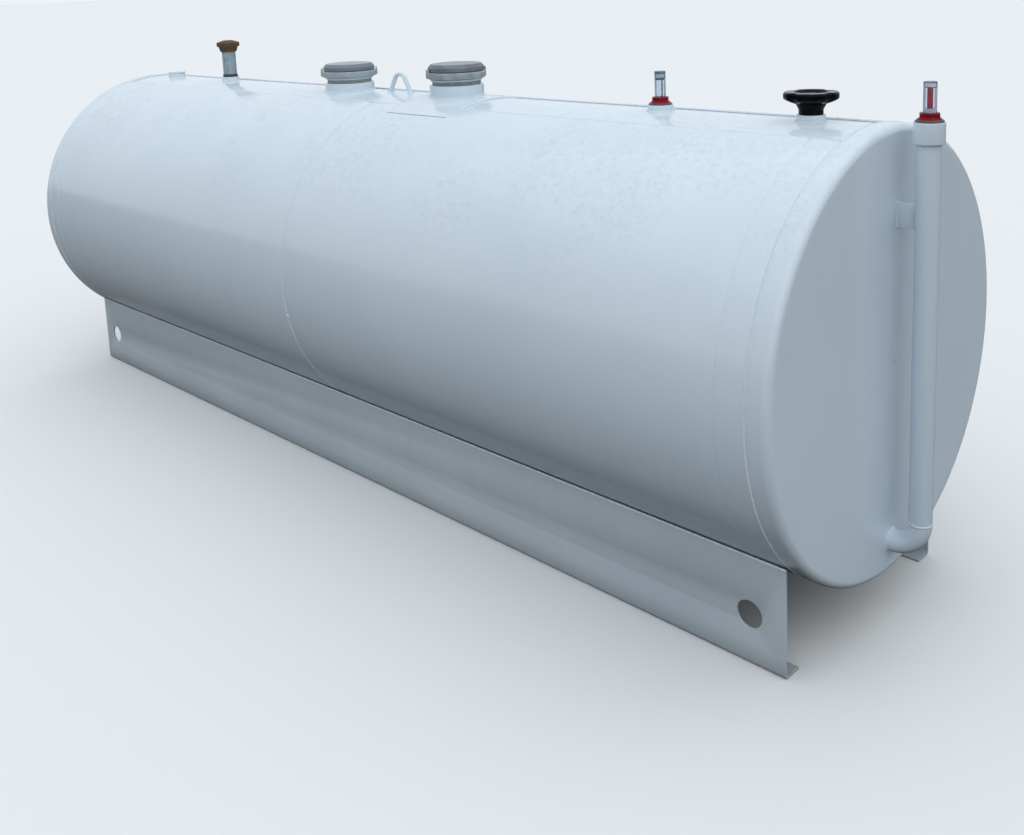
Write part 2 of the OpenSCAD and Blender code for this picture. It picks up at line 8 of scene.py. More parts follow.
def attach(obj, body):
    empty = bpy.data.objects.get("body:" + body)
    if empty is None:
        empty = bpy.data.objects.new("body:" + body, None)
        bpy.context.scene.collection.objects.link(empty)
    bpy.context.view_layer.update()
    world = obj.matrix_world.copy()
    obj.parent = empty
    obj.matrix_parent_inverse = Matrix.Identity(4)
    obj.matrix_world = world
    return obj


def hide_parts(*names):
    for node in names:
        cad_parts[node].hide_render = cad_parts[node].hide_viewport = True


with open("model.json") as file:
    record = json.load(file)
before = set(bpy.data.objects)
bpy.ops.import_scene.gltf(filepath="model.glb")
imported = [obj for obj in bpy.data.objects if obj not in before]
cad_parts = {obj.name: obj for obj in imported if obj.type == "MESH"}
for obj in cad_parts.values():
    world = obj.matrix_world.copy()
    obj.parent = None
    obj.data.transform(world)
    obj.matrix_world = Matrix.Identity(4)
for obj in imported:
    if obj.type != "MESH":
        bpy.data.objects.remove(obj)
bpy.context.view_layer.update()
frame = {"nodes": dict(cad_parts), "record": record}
nodes = frame["nodes"]
scene = bpy.context.scene
print("frame loaded,", len(nodes), "nodes")

# Places that more than one piece uses, in metres. Lengths along the tank are from its middle.
tank = {
    "x": -0.058575,          # middle of the tank along X
    "z": 0.762,              # height of the tank's axis
    "radius": 0.6096,
    "shellRadius": 0.6029,
    "halfLength": 1.9812,
    "seam": 1.9172,          # where the heads meet the wrap
    "girth": 0.038,          # where the two courses of the wrap meet
    "ends": 1.7342,          # plug and fill cap
    "nexts": 1.2312,         # riser and level gauge
    "vents": 0.32,
    "monitor": 2.06,
    "couplingTop": 1.3829,
    "rearVentTop": 1.3929,   # top of each vent's coupling
    "frontVentTop": 1.4089,
}
pipe = {"out": 30.15, "bore": 26.25}     # the 2 in pipes, in millimetres


def outward(angle):
    # angle in degrees from the crest, plus towards the far side
    return Vector((0, sin(radians(angle)), cos(radians(angle))))


def onTank(x, angle, radius):
    return tank["x"] + x, radius * sin(radians(angle)), tank["z"] + radius * cos(radians(angle))


# node helpers
class Builder:
    # puts nodes in a tree: an input that is a socket is linked, any other value is set
    def __init__(self, tree):
        self.tree = tree

    def link(self, socket, target):
        self.tree.links.new(socket, target)

    def add(self, kind, inputs=None, **settings):
        node = self.tree.nodes.new(kind)
        for key, value in settings.items():
            setattr(node, key, value)
        for key, value in (inputs or {}).items():
            if isinstance(value, bpy.types.NodeSocket):
                self.link(value, node.inputs[key])
            else:
                node.inputs[key].default_value = value
        return node

    def first(self, kind, inputs=None, **settings):
        return self.add(kind, inputs, **settings).outputs[0]

    def calc(self, operation, *values, clamp=False):
        return self.first("ShaderNodeMath", dict(enumerate(values)), operation=operation, use_clamp=clamp)

    def times(self, a, b):
        return self.calc("MULTIPLY", a, b)

    def remap(self, value, low, high, toLow=0.0, toHigh=1.0):
        return self.first("ShaderNodeMapRange", {0: value, 1: low, 2: high, 3: toLow, 4: toHigh})

    def shift(self, place, by):
        return self.first("ShaderNodeVectorMath", {0: place, 1: by}, operation="ADD")

    def scaled(self, place, factor):
        return self.first("ShaderNodeVectorMath", {0: place, "Scale": factor}, operation="SCALE")

    def noise(self, place, scale, detail, roughness=0.5, output="Fac"):
        inputs = {"Vector": place, "Scale": scale, "Detail": detail, "Roughness": roughness}
        return self.add("ShaderNodeTexNoise", inputs).outputs[output]


number, whole, vector = "NodeSocketFloat", "NodeSocketInt", "NodeSocketVector"
geometry, material = "NodeSocketGeometry", "NodeSocketMaterial"


class Group(Builder):
    # takes holds each input's kind or its starting number, gives the name and kind of the output
    def __init__(self, name, treeKind, gives, takes):
        super().__init__(bpy.data.node_groups.new(name, treeKind))
        face = self.tree.interface
        for label, value in takes.items():
            kind = value if isinstance(value, str) else whole if isinstance(value, int) else number
            socket = face.new_socket(label, in_out="INPUT", socket_type=kind)
            if kind != value:
                socket.default_value = value
        face.new_socket(gives[0], in_out="OUTPUT", socket_type=gives[1])
        self.take, self.end = self.add("NodeGroupInput").outputs, self.add("NodeGroupOutput").inputs[0]

    def give(self, socket):
        self.link(socket, self.end)
        return self.tree

    def giveReal(self, shape):
        # real geometry with its finish, because an export loses instances
        real = self.first("GeometryNodeRealizeInstances", {0: shape})
        return self.give(self.first("GeometryNodeSetMaterial",
                                    {"Geometry": real, "Material": self.take["Material"]}))


# shader groups
def makeMottle():
    # soft cloudy variation, 0 to 1
    g = Group("mottle", "ShaderNodeTree", ("Fac", number),
              {"Vector": vector, "Scale": 3.0, "Detail": 4.0, "Contrast": 1.0})
    cloud = g.noise(g.take["Vector"], g.take["Scale"], g.take["Detail"], 0.55)
    wide = g.times(g.calc("SUBTRACT", cloud, 0.5), g.times(g.take["Contrast"], 2.5))
    return g.give(g.calc("ADD", wide, 0.5, clamp=True))


def makeSpecks():
    # small separate spots, 1 in a spot; Share is how many cells hold one
    g = Group("specks", "ShaderNodeTree", ("Mask", number),
              {"Vector": vector, "Scale": 60.0, "Size": 0.2, "Share": 0.3})
    bend = g.noise(g.take["Vector"], g.times(g.take["Scale"], 2.0), 2.0, output="Color")
    place = g.shift(g.take["Vector"], g.scaled(bend, 0.004))
    cells = g.add("ShaderNodeTexVoronoi", {"Vector": place, "Scale": g.take["Scale"]}).outputs
    chosen = g.add("ShaderNodeSeparateColor", {0: cells["Color"]}).outputs
    size = g.times(g.take["Size"], g.calc("ADD", chosen[1], 0.3))
    inside = g.calc("LESS_THAN", cells["Distance"], size)
    return g.give(g.times(inside, g.calc("LESS_THAN", chosen[0], g.take["Share"])))


def makeStreaks():
    # marks that run down the surface
    g = Group("streaks", "ShaderNodeTree", ("Mask", number),
              {"Vector": vector, "Scale": 30.0, "Stretch": 0.06, "Threshold": 0.55})
    squeeze = g.first("ShaderNodeCombineXYZ", {0: 1.0, 1: 1.0, 2: g.take["Stretch"]})
    flat = g.first("ShaderNodeVectorMath", {0: g.take["Vector"], 1: squeeze}, operation="MULTIPLY")
    marks, threshold = g.noise(flat, g.take["Scale"], 5.0, 0.6), g.take["Threshold"]
    return g.give(g.remap(marks, threshold, g.calc("ADD", threshold, 0.2)))


def makeEdgeWearAndHighlight():
    # 1 along edges, broken up by noise: worn edges, which several finishes also use for a painted highlight
    #                                    along edges
    g = Group("edgeWear", "ShaderNodeTree", ("Mask", number),
              {"Vector": vector, "Radius": 0.002, "Amount": 1.0, "Breakup": 90.0})
    bevel = g.first("ShaderNodeBevel", {"Radius": g.take["Radius"]}, samples=4)
    normal = g.add("ShaderNodeNewGeometry").outputs["Normal"]
    along = g.add("ShaderNodeVectorMath", {0: bevel, 1: normal}, operation="DOT_PRODUCT").outputs["Value"]
    breaks = g.remap(g.noise(g.take["Vector"], g.take["Breakup"], 3.0), 0.35, 0.6)
    worn = g.times(g.remap(along, 0.995, 0.85), breaks)
    return g.give(g.calc("MULTIPLY", worn, g.take["Amount"], clamp=True))


def makeGrain():
    # height of a fine grain, such as the orange peel of paint or the skin of a casting
    g = Group("grain", "ShaderNodeTree", ("Height", number),
              {"Vector": vector, "Scale": 300.0, "Coarse": 40.0, "Mix": 0.4})
    fine = g.noise(g.take["Vector"], g.take["Scale"], 2.0)
    coarse = g.noise(g.take["Vector"], g.take["Coarse"], 2.0)
    first = g.times(fine, g.calc("SUBTRACT", 1.0, g.take["Mix"]))
    return g.give(g.calc("ADD", first, g.times(coarse, g.take["Mix"])))


groups = {"mottle": makeMottle(), "specks": makeSpecks(), "streaks": makeStreaks(),
          "edgeWear": makeEdgeWearAndHighlight(), "grain": makeGrain()}


class Finish(Builder):
    # a material under construction: object coordinates in, one Principled shader out
    def __init__(self, name, constants):
        self.material = bpy.data.materials.new(name)
        self.material.use_nodes = True
        super().__init__(self.material.node_tree)
        self.shader = self.tree.nodes["Principled BSDF"]
        self.place = self.add("ShaderNodeTexCoord").outputs["Object"]
        for key, value in constants.items():
            self.shader.inputs[key].default_value = value

    def use(self, group, **values):
        return self.first("ShaderNodeGroup", {"Vector": self.place, **values}, node_tree=groups[group])

    def along(self, axis):
        return self.add("ShaderNodeSeparateXYZ", {0: self.place}).outputs[axis]

    def facingUp(self):
        normal = self.add("ShaderNodeNewGeometry").outputs["Normal"]
        return self.add("ShaderNodeSeparateXYZ", {0: normal}).outputs["Z"]

    def blend(self, fac, a, b):
        a, b = [(*colour, 1.0) if isinstance(colour, tuple) else colour for colour in (a, b)]
        return self.add("ShaderNodeMix", {0: fac, 6: a, 7: b}, data_type="RGBA").outputs[2]

    def bump(self, height, distance, strength=1.0, under=None):
        inputs = {"Height": height, "Distance": distance, "Strength": strength}
        if under is not None:
            inputs["Normal"] = under
        return self.first("ShaderNodeBump", inputs)

    def drive(self, name, socket):
        self.link(socket, self.shader.inputs[name])

    def vary(self, name, fac, low, high):
        self.drive(name, self.remap(fac, 0.0, 1.0, low, high))


# finishes
tankPaintLook = {"white": (0.635, 0.745, 0.835), "cooler": (0.595, 0.705, 0.80), "film": (0.50, 0.57, 0.60),
                 "grime": (0.36, 0.40, 0.41), "splashAndShade": (0.25, 0.28, 0.29), "speck": (0.44, 0.48, 0.48),
                 "thick": (0.86, 0.91, 0.95), "dried": 0.22, "runs": 0.2, "splashedAndShaded": 0.6, "spots": 0.4,
                 "thickness": 0.0}
# the weld beads get a painted highlight: their paint is made brighter the lower they sit on the tank
beadHighlightLook = {**tankPaintLook, "thickness": 0.85}


def makeTankPaint(name, look):
    f = Finish(name, {"IOR": 1.5})
    up, height = f.facingUp(), f.along("Z")
    cloud = f.use("mottle", Scale=1.7, Detail=5.0, Contrast=0.9)
    colour = f.blend(cloud, look["white"], look["cooler"])
    # painted highlight: brighter paint below 0.82 m, at full strength from 0.6 m down
    colour = f.blend(f.times(f.remap(height, 0.82, 0.6), look["thickness"]), colour, look["thick"])
    # rain and dirt have dried in patches on the upper side
    patches = f.use("mottle", Scale=2.6, Detail=6.0, Contrast=2.2)
    film = f.use("mottle", Scale=36.0, Detail=6.0, Contrast=2.2)
    dried = f.times(f.times(film, patches), f.remap(up, 0.2, 0.8, 0.0, look["dried"]))
    colour = f.blend(dried, colour, look["film"])
    runs = f.use("streaks", Scale=26.0, Stretch=0.05, Threshold=0.56)
    low = f.times(f.remap(height, 0.75, 0.15), look["runs"])
    colour = f.blend(f.times(runs, low), colour, look["grime"])
    # darker on the faces that look down: dirt thrown up from the ground, together with painted shade for the
    # dim underside
    splashAndShade = f.use("mottle", Scale=11.0, Detail=7.0, Contrast=1.0)
    under = f.times(f.remap(up, -0.42, -0.8, 0.0, look["splashedAndShaded"]), f.remap(splashAndShade, 0.0, 1.0, 0.7, 1.0))
    colour = f.blend(under, colour, look["splashAndShade"])
    spots = f.use("specks", Scale=42.0, Size=0.07, Share=0.12)
    f.drive("Base Color", f.blend(f.times(spots, look["spots"]), colour, look["speck"]))
    f.vary("Roughness", f.use("mottle", Scale=7.0, Detail=6.0, Contrast=1.0), 0.12, 0.2)
    peel = f.use("grain", Scale=420.0, Coarse=60.0, Mix=0.45)
    roll = f.use("grain", Scale=7.0, Coarse=2.2, Mix=0.5)
    drops = f.use("specks", Scale=90.0, Size=0.42, Share=0.45)
    wet = f.times(drops, f.times(patches, f.remap(up, 0.2, 0.7)))
    f.drive("Normal", f.bump(wet, 0.0012, 1.0, f.bump(peel, 0.0001, 0.7, f.bump(roll, 0.0012, 0.5))))
    return f.material


skidPaintLook = {"grey": (0.43, 0.505, 0.57), "dry": (0.48, 0.555, 0.62), "grime": (0.19, 0.21, 0.21),
                 "bright": (0.66, 0.72, 0.75), "runs": 0.09, "foot": 0.5}


def makeSkidPaint(look):
    f = Finish("skidPaint", {"IOR": 1.45, "Specular IOR Level": 0.4})
    cloud = f.use("mottle", Scale=2.4, Detail=6.0, Contrast=0.8)
    colour = f.blend(cloud, look["grey"], look["dry"])
    runs = f.use("streaks", Scale=22.0, Stretch=0.07, Threshold=0.58)
    colour = f.blend(f.times(runs, look["runs"]), colour, look["grime"])
    colour = f.blend(f.times(f.remap(f.along("Z"), 0.06, 0.0), look["foot"]), colour, look["grime"])
    # pale worn edges, which also paint the highlight along the plate's edges
    worn = f.use("edgeWear", Radius=0.003, Amount=1.0, Breakup=45.0)
    f.drive("Base Color", f.blend(worn, colour, look["bright"]))
    f.vary("Roughness", cloud, 0.36, 0.52)
    f.drive("Normal", f.bump(f.use("grain", Scale=350.0, Coarse=45.0, Mix=0.5), 0.00015))
    return f.material


ventBodyLook = {"dull": (0.23, 0.265, 0.29), "bright": (0.36, 0.41, 0.44), "rear": (0.37, 0.425, 0.455),
                "paintedTopLight": (0.50, 0.56, 0.59), "rearPaintedTopLight": (0.55, 0.61, 0.64), "dark": (0.08, 0.09, 0.10),
                "rim": (0.66, 0.72, 0.75), "wear": 1.0}
ventCoverLook = {"dull": (0.12, 0.138, 0.16), "bright": (0.19, 0.215, 0.24), "rear": (0.19, 0.22, 0.26),
                 "paintedTopLight": (0.31, 0.365, 0.405), "rearPaintedTopLight": (0.36, 0.425, 0.50), "dark": (0.05, 0.06, 0.07),
                 "rim": (0.36, 0.40, 0.44), "wear": 0.55}
# a paler copy of the vent metal: painted highlight for the ridge at the flare's foot
ventRidgeHighlightLook = {**ventBodyLook, "dull": (0.50, 0.56, 0.60), "bright": (0.66, 0.72, 0.76),
               "rear": (0.66, 0.73, 0.77)}


def makeVentMetal(name, look):
    # cast metal gone dull; the rear vent is the more bleached of the two
    f = Finish(name, {"IOR": 1.5, "Specular IOR Level": 0.35})
    cloud = f.use("mottle", Scale=28.0, Detail=7.0, Contrast=1.2)
    rear = f.remap(f.along("X"), 0.0, -0.1)
    colour = f.blend(f.times(rear, 0.6), f.blend(cloud, look["dull"], look["bright"]), look["rear"])
    # painted light: what faces up is made paler, as light from above makes it
    paintedTopLight = f.remap(f.facingUp(), 0.72, 0.97, 0.0, 0.95)
    topLightColour = f.blend(rear, look["paintedTopLight"], look["rearPaintedTopLight"])
    colour = f.blend(f.times(paintedTopLight, f.remap(cloud, 0.0, 1.0, 0.75, 1.0)), colour, topLightColour)
    pits = f.use("specks", Scale=260.0, Size=0.22, Share=0.3)
    colour = f.blend(f.times(pits, 0.45), colour, look["dark"])
    # pale worn edges, which also paint the light lines along the rims and the flare
    worn = f.use("edgeWear", Radius=0.004, Amount=look["wear"], Breakup=120.0)
    f.drive("Base Color", f.blend(worn, colour, look["rim"]))
    f.vary("Metallic", cloud, 0.05, 0.2)
    f.vary("Roughness", cloud, 0.42, 0.6)
    skin = f.use("grain", Scale=600.0, Coarse=130.0, Mix=0.4)
    f.drive("Normal", f.bump(skin, 0.0004, 0.8, f.bump(pits, 0.0004, 0.5)))
    return f.material


zincLook = {"zinc": (0.22, 0.295, 0.35), "pale": (0.36, 0.45, 0.52), "dark": (0.12, 0.16, 0.19),
            "flakes": 110.0}


def makeGalvanised(look):
    f = Finish("galvanised", {"IOR": 1.6})
    cells = f.add("ShaderNodeTexVoronoi", {"Vector": f.place, "Scale": look["flakes"]}).outputs["Color"]
    flake = f.first("ShaderNodeSeparateColor", {0: cells})
    stain = f.use("streaks", Scale=70.0, Stretch=0.25, Threshold=0.52)
    colour = f.blend(flake, look["zinc"], look["pale"])
    f.drive("Base Color", f.blend(f.times(stain, 0.7), colour, look["dark"]))
    f.vary("Metallic", flake, 0.25, 0.5)
    f.vary("Roughness", flake, 0.38, 0.58)
    f.drive("Normal", f.bump(f.use("grain", Scale=500.0, Coarse=90.0, Mix=0.5), 0.0003))
    return f.material


rustLook = {"rust": (0.118, 0.068, 0.022), "olive": (0.034, 0.031, 0.021), "dark": (0.016, 0.012, 0.009),
            "dust": (0.16, 0.125, 0.075)}


def makeRustyIron(look):
    f = Finish("rustyIron", {"IOR": 1.45})
    cloud = f.use("mottle", Scale=22.0, Detail=8.0, Contrast=2.4)
    pits = f.use("specks", Scale=210.0, Size=0.3, Share=0.4)
    colour = f.blend(f.times(pits, 0.7), f.blend(cloud, look["olive"], look["rust"]), look["dark"])
    worn = f.use("edgeWear", Radius=0.003, Amount=0.8, Breakup=110.0)
    f.drive("Base Color", f.blend(worn, colour, look["dust"]))
    f.vary("Roughness", cloud, 0.62, 0.9)
    skin = f.use("grain", Scale=420.0, Coarse=110.0, Mix=0.5)
    f.drive("Normal", f.bump(skin, 0.0009, 0.9, f.bump(pits, 0.0007, 0.6)))
    return f.material


# edge is painted shade for the dark sides of the tube
tubeLook = {"clear": (0.82, 0.87, 0.92), "hazy": (0.72, 0.78, 0.85), "edge": (0.04, 0.055, 0.075)}


def makeClearTube(look):
    # heavy-walled moulded tube: clear where it is looked through, with painted shade towards its outline, where
    # it curves out of view
    f = Finish("clearTube", {"IOR": 1.32, "Transmission Weight": 1.0, "Metallic": 0.0})
    haze = f.use("mottle", Scale=40.0, Detail=5.0, Contrast=1.2)
    silhouetteShade = f.add("ShaderNodeLayerWeight", {"Blend": 0.5}).outputs["Facing"]
    colour = f.blend(haze, look["clear"], look["hazy"])
    f.drive("Base Color", f.blend(f.remap(silhouetteShade, 0.3, 0.6), colour, look["edge"]))
    f.vary("Roughness", haze, 0.02, 0.08)
    f.drive("Normal", f.bump(f.use("grain", Scale=300.0, Coarse=60.0, Mix=0.6), 0.0001, 0.3))
    return f.material


# plain finishes: a cloudy colour between deep and pale, a fine grain, and on some dust or a paler worn edge
plainLooks = {
    "darkFitting": {"deep": (0.03, 0.035, 0.04), "pale": (0.075, 0.085, 0.09), "edge": (0.22, 0.23, 0.23),
                    "cloud": (60.0, 6.0, 1.5), "wear": (0.0014, 0.9, 160.0), "rough": (0.35, 0.6),
                    "grain": (700.0, 150.0, 0.4), "height": 0.0004},
    "gaugeRed": {"deep": (0.15, 0.0012, 0.007), "pale": (0.25, 0.003, 0.013), "edge": (0.55, 0.22, 0.25),
                 "cloud": (50.0, 5.0, 1.2), "wear": (0.0014, 0.9, 140.0), "rough": (0.24, 0.4),
                 "grain": (800.0, 120.0, 0.4), "height": 0.0002, "shine": 0.1},
    "indicatorRed": {"deep": (0.38, 0.006, 0.035), "pale": (0.50, 0.016, 0.060), "cloud": (80.0, 4.0, 1.0),
                     "rough": (0.3, 0.5), "grain": (700.0, 150.0, 0.4), "height": 0.0002},
    "blackPlastic": {"deep": (0.0012, 0.0012, 0.0030), "pale": (0.0035, 0.0035, 0.0060),
                     "edge": (0.17, 0.19, 0.22), "cloud": (40.0, 6.0, 1.3), "wear": (0.0025, 0.3, 70.0),
                     "dust": (0.13, 0.13, 0.14), "dusty": 0.25, "rough": (0.1, 0.24),
                     "grain": (500.0, 90.0, 0.5), "height": 0.00012, "shine": 0.08},
    "threadMetal": {"deep": (0.24, 0.26, 0.28), "pale": (0.09, 0.10, 0.105), "cloud": (60.0, 5.0, 1.8),
                    "metal": (0.6, 0.0), "rough": (0.4, 0.75), "grain": (900.0, 200.0, 0.5),
                    "height": 0.0004},
    "sealant": {"deep": (0.018, 0.021, 0.024), "pale": (0.05, 0.056, 0.06), "cloud": (55.0, 6.0, 1.4),
                "rough": (0.45, 0.75), "grain": (300.0, 80.0, 0.5), "height": 0.0005, "ior": 1.45},
    "smokeBand": {"deep": (0.07, 0.10, 0.12), "pale": (0.17, 0.22, 0.25), "cloud": (90.0, 5.0, 1.6),
                  "rough": (0.25, 0.5), "grain": (500.0, 100.0, 0.5), "height": 0.0002, "shine": 0.3},
    "milkyPlastic": {"deep": (0.78, 0.73, 0.84), "pale": (0.88, 0.82, 0.90), "cloud": (70.0, 4.0, 1.0),
                     "rough": (0.3, 0.5), "grain": (500.0, 100.0, 0.5), "height": 0.0002, "ior": 1.45,
                     "shine": 0.4},
}
plainLooks["greyPlastic"] = {**plainLooks["milkyPlastic"], "deep": (0.50, 0.58, 0.64),
                             "pale": (0.64, 0.71, 0.76)}


def makePlain(name):
    look = plainLooks[name]
    f = Finish(name, {"IOR": look.get("ior", 1.5), "Specular IOR Level": look.get("shine", 0.5)})
    size, detail, contrast = look["cloud"]
    cloud = f.use("mottle", Scale=size, Detail=detail, Contrast=contrast)
    colour = f.blend(cloud, look["deep"], look["pale"])
    if "dust" in look:
        dust = f.use("specks", Scale=160.0, Size=0.1, Share=0.12)
        colour = f.blend(f.times(dust, look["dusty"]), colour, look["dust"])
    # paler worn edges, which also paint a highlight along the edges, as on the dark ring's top and the black
    # cap's rim
    if "edge" in look:
        radius, amount, breakup = look["wear"]
        worn = f.use("edgeWear", Radius=radius, Amount=amount, Breakup=breakup)
        colour = f.blend(worn, colour, look["edge"])
    f.drive("Base Color", colour)
    if "metal" in look:
        f.vary("Metallic", cloud, *look["metal"])
    f.vary("Roughness", cloud, *look["rough"])
    fine, coarse, mix = look["grain"]
    f.drive("Normal", f.bump(f.use("grain", Scale=fine, Coarse=coarse, Mix=mix), look["height"]))
    return f.material


finishes = {
    "tank_paint": makeTankPaint("tankPaint", tankPaintLook),
    "skid_paint": makeSkidPaint(skidPaintLook),
    "vent_metal": makeVentMetal("ventMetal", ventBodyLook),
    "galvanised": makeGalvanised(zincLook),
    "rusty_iron": makeRustyIron(rustLook),
    "dark_fitting": makePlain("darkFitting"),
    "gauge_red": makePlain("gaugeRed"),
    "indicator_red": makePlain("indicatorRed"),
    "clear_tube": makeClearTube(tubeLook),
    "black_plastic": makePlain("blackPlastic"),
}
threadMetal, sealant, smokeBand = makePlain("threadMetal"), makePlain("sealant"), makePlain("smokeBand")
milkyPlastic, greyPlastic = makePlain("milkyPlastic"), makePlain("greyPlastic")
ventCoverMetal = makeVentMetal("ventCoverMetal", ventCoverLook)
# paler copy of the vent metal, a painted highlight on the ridge
ventRimMetal = makeVentMetal("ventRimMetal", ventRidgeHighlightLook)
# tank paint with a painted highlight on the lower weld beads
beadPaint = makeTankPaint("beadPaint", beadHighlightLook)
for part in frame["record"]["subparts"]:          # every node starts with the finish of its slot
    for holder in nodes[part["node"]].material_slots:
        holder.material = finishes[part["material_slot"]]
nodes["gauge_pointer"].material_slots[0].material = smokeBand      # the photo shows this rod and disc dark
print("finishes made")


# mesh helpers
def keepPiece(name, mesh, body, slot, stands=(), finish=None, sharp=32.0):
    if sharp is not None:
        mesh.shade_smooth()
        mesh.set_sharp_from_angle(angle=radians(sharp))
    piece = bpy.data.objects.new(name, mesh)
    scene.collection.objects.link(piece)
    mesh.materials.clear()
    mesh.materials.append(finish or finishes[slot])
    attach(piece, body)
    if stands:
        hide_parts(*stands)


def asMesh(name, work):
    mesh = bpy.data.meshes.new(name)
    work.to_mesh(mesh)
    work.free()
    return mesh


within = {"closed": 1e-6, "lathe": 1e-7}      # points this near each other are one


def closedMesh(name, work):
    bmesh.ops.remove_doubles(work, verts=work.verts, dist=within["closed"])
    bmesh.ops.recalc_face_normals(work, faces=work.faces)
    return asMesh(name, work)


def joinRings(rings):
    # faces from each ring of points to the next, and from the last to the first unless both are on the axis
    work = bmesh.new()
    made = [[work.verts.new(spot) for spot in ring] for ring in rings]
    for one, two in zip(made, made[1:] + made[:1]):
        if all(ring[0].co == ring[len(ring) // 2].co for ring in (one, two)):
            continue
        for s in range(len(one)):
            t = (s + 1) % len(one)
            work.faces.new((one[s], one[t], two[t], two[s]))
    return work


def turns(segments):
    return [2 * pi * s / segments for s in range(segments)]


def rounded(corners, steps=4):
    # closed outline of (r, z) or (r, z, radius); each radius becomes an arc
    outline = []
    count = len(corners)
    for i, corner in enumerate(corners):
        here = Vector(corner[:2])
        radius = corner[2] if len(corner) > 2 else 0
        if not radius:
            outline.append(here)
            continue
        before = Vector(corners[i - 1][:2]) - here
        after = Vector(corners[(i + 1) % count][:2]) - here
        half = before.angle(after) / 2
        reach = min(radius / tan(half), before.length * 0.49, after.length * 0.49)
        radius = reach * tan(half)
        middle = here + (before.normalized() + after.normalized()).normalized() * (radius / sin(half))
        start = here + before.normalized() * reach - middle
        end = here + after.normalized() * reach - middle
        for step in range(steps + 1):
            outline.append(middle + start.lerp(end, step / steps).normalized() * radius)
    return outline


def lathe(name, corners, at, slot, stands=(), segments=64, finish=None, body="tank"):
    # turns a closed outline, in millimetres, round an upright axis
    outline = rounded([tuple(value / 1000 for value in corner) for corner in corners])
    work = joinRings([[(at[0] + r * cos(a), at[1] + r * sin(a), at[2] + z) for a in turns(segments)]
                      for r, z in outline])
    bmesh.ops.remove_doubles(work, verts=work.verts, dist=within["lathe"])
    bmesh.ops.dissolve_degenerate(work, dist=within["lathe"], edges=work.edges)
    keepPiece(name, closedMesh(name, work), body, slot, stands, finish)


def withModifiers(name, mesh, setUp):
    # runs modifiers on a mesh and returns the finished mesh
    carrier = bpy.data.objects.new(name, mesh)
    scene.collection.objects.link(carrier)
    setUp(carrier)
    bpy.context.view_layer.update()
    done = bpy.data.meshes.new_from_object(carrier.evaluated_get(bpy.context.evaluated_depsgraph_get()))
    bpy.data.objects.remove(carrier)
    return done


softEdge = {"segments": 2, "angle": 28.0, "flat": 0.6, "merge": 2e-6}


def softPiece(name, node, slot, width):
    # a merged copy of a node with its sharp edges rounded stands in for it
    work = bmesh.new()
    work.from_mesh(nodes[node].data)
    bmesh.ops.remove_doubles(work, verts=work.verts, dist=softEdge["merge"])
    bmesh.ops.dissolve_limit(work, angle_limit=radians(softEdge["flat"]), verts=work.verts, edges=work.edges)

    def setUp(carrier):
        bevel = carrier.modifiers.new("edges", "BEVEL")
        bevel.width, bevel.segments, bevel.limit_method = width, softEdge["segments"], "ANGLE"
        bevel.angle_limit = radians(softEdge["angle"])
        bevel.use_clamp_overlap = True
    mesh = withModifiers(node, closedMesh(node + "Soft", work), setUp)
    keepPiece(name, mesh, "tank", slot, (node,), sharp=30.0)


# geometry node trees
def makeRollTree():
    # rolls a flat blank round the tank's axis, with weld shrinkage at its ends and a slight waviness
    g = Group("rollPlate", "GeometryNodeTree", ("Plate", geometry),
              {"Blank": geometry, "Radius": 0.6096, "Wave Depth": 0.0006, "Wave Size": 2.0, "Seam Dip": 0.0014,
               "Dip Width": 0.03, "Left Seam": 0.0, "Right Seam": 1.0, "Crease": 9.0, "Crease Depth": 0.0005,
               "Crease Width": 0.003, "Seed": 3.0, "Centre": vector, "Material": material})
    take = g.take
    x, y, z = g.add("ShaderNodeSeparateXYZ", {0: g.first("GeometryNodeInputPosition")}).outputs
    flat = g.first("ShaderNodeCombineXYZ", {0: x, 1: y, 2: 0.0})
    wave = {"Vector": flat, "Scale": take["Wave Size"], "W": take["Seed"], "Detail": 1.0}
    drop = g.times(g.first("ShaderNodeTexNoise", wave, noise_dimensions="4D"), take["Wave Depth"])
    for mark, depth, width in (("Left Seam", "Seam Dip", "Dip Width"), ("Right Seam", "Seam Dip", "Dip Width"),
                               ("Crease", "Crease Depth", "Crease Width")):
        off = g.calc("DIVIDE", g.calc("SUBTRACT", x, take[mark]), take[width])
        fall = g.calc("EXPONENT", g.times(g.times(off, off), -1.0))
        drop = g.calc("ADD", drop, g.times(fall, take[depth]))
    angle = g.calc("DIVIDE", y, take["Radius"])
    r = g.calc("SUBTRACT", g.calc("ADD", take["Radius"], z), drop)
    rolled = {0: x, 1: g.times(r, g.calc("SINE", angle)), 2: g.times(r, g.calc("COSINE", angle))}
    place = g.shift(g.first("ShaderNodeCombineXYZ", rolled), take["Centre"])
    return g.giveReal(g.first("GeometryNodeSetPosition", {"Geometry": take["Blank"], "Position": place}))


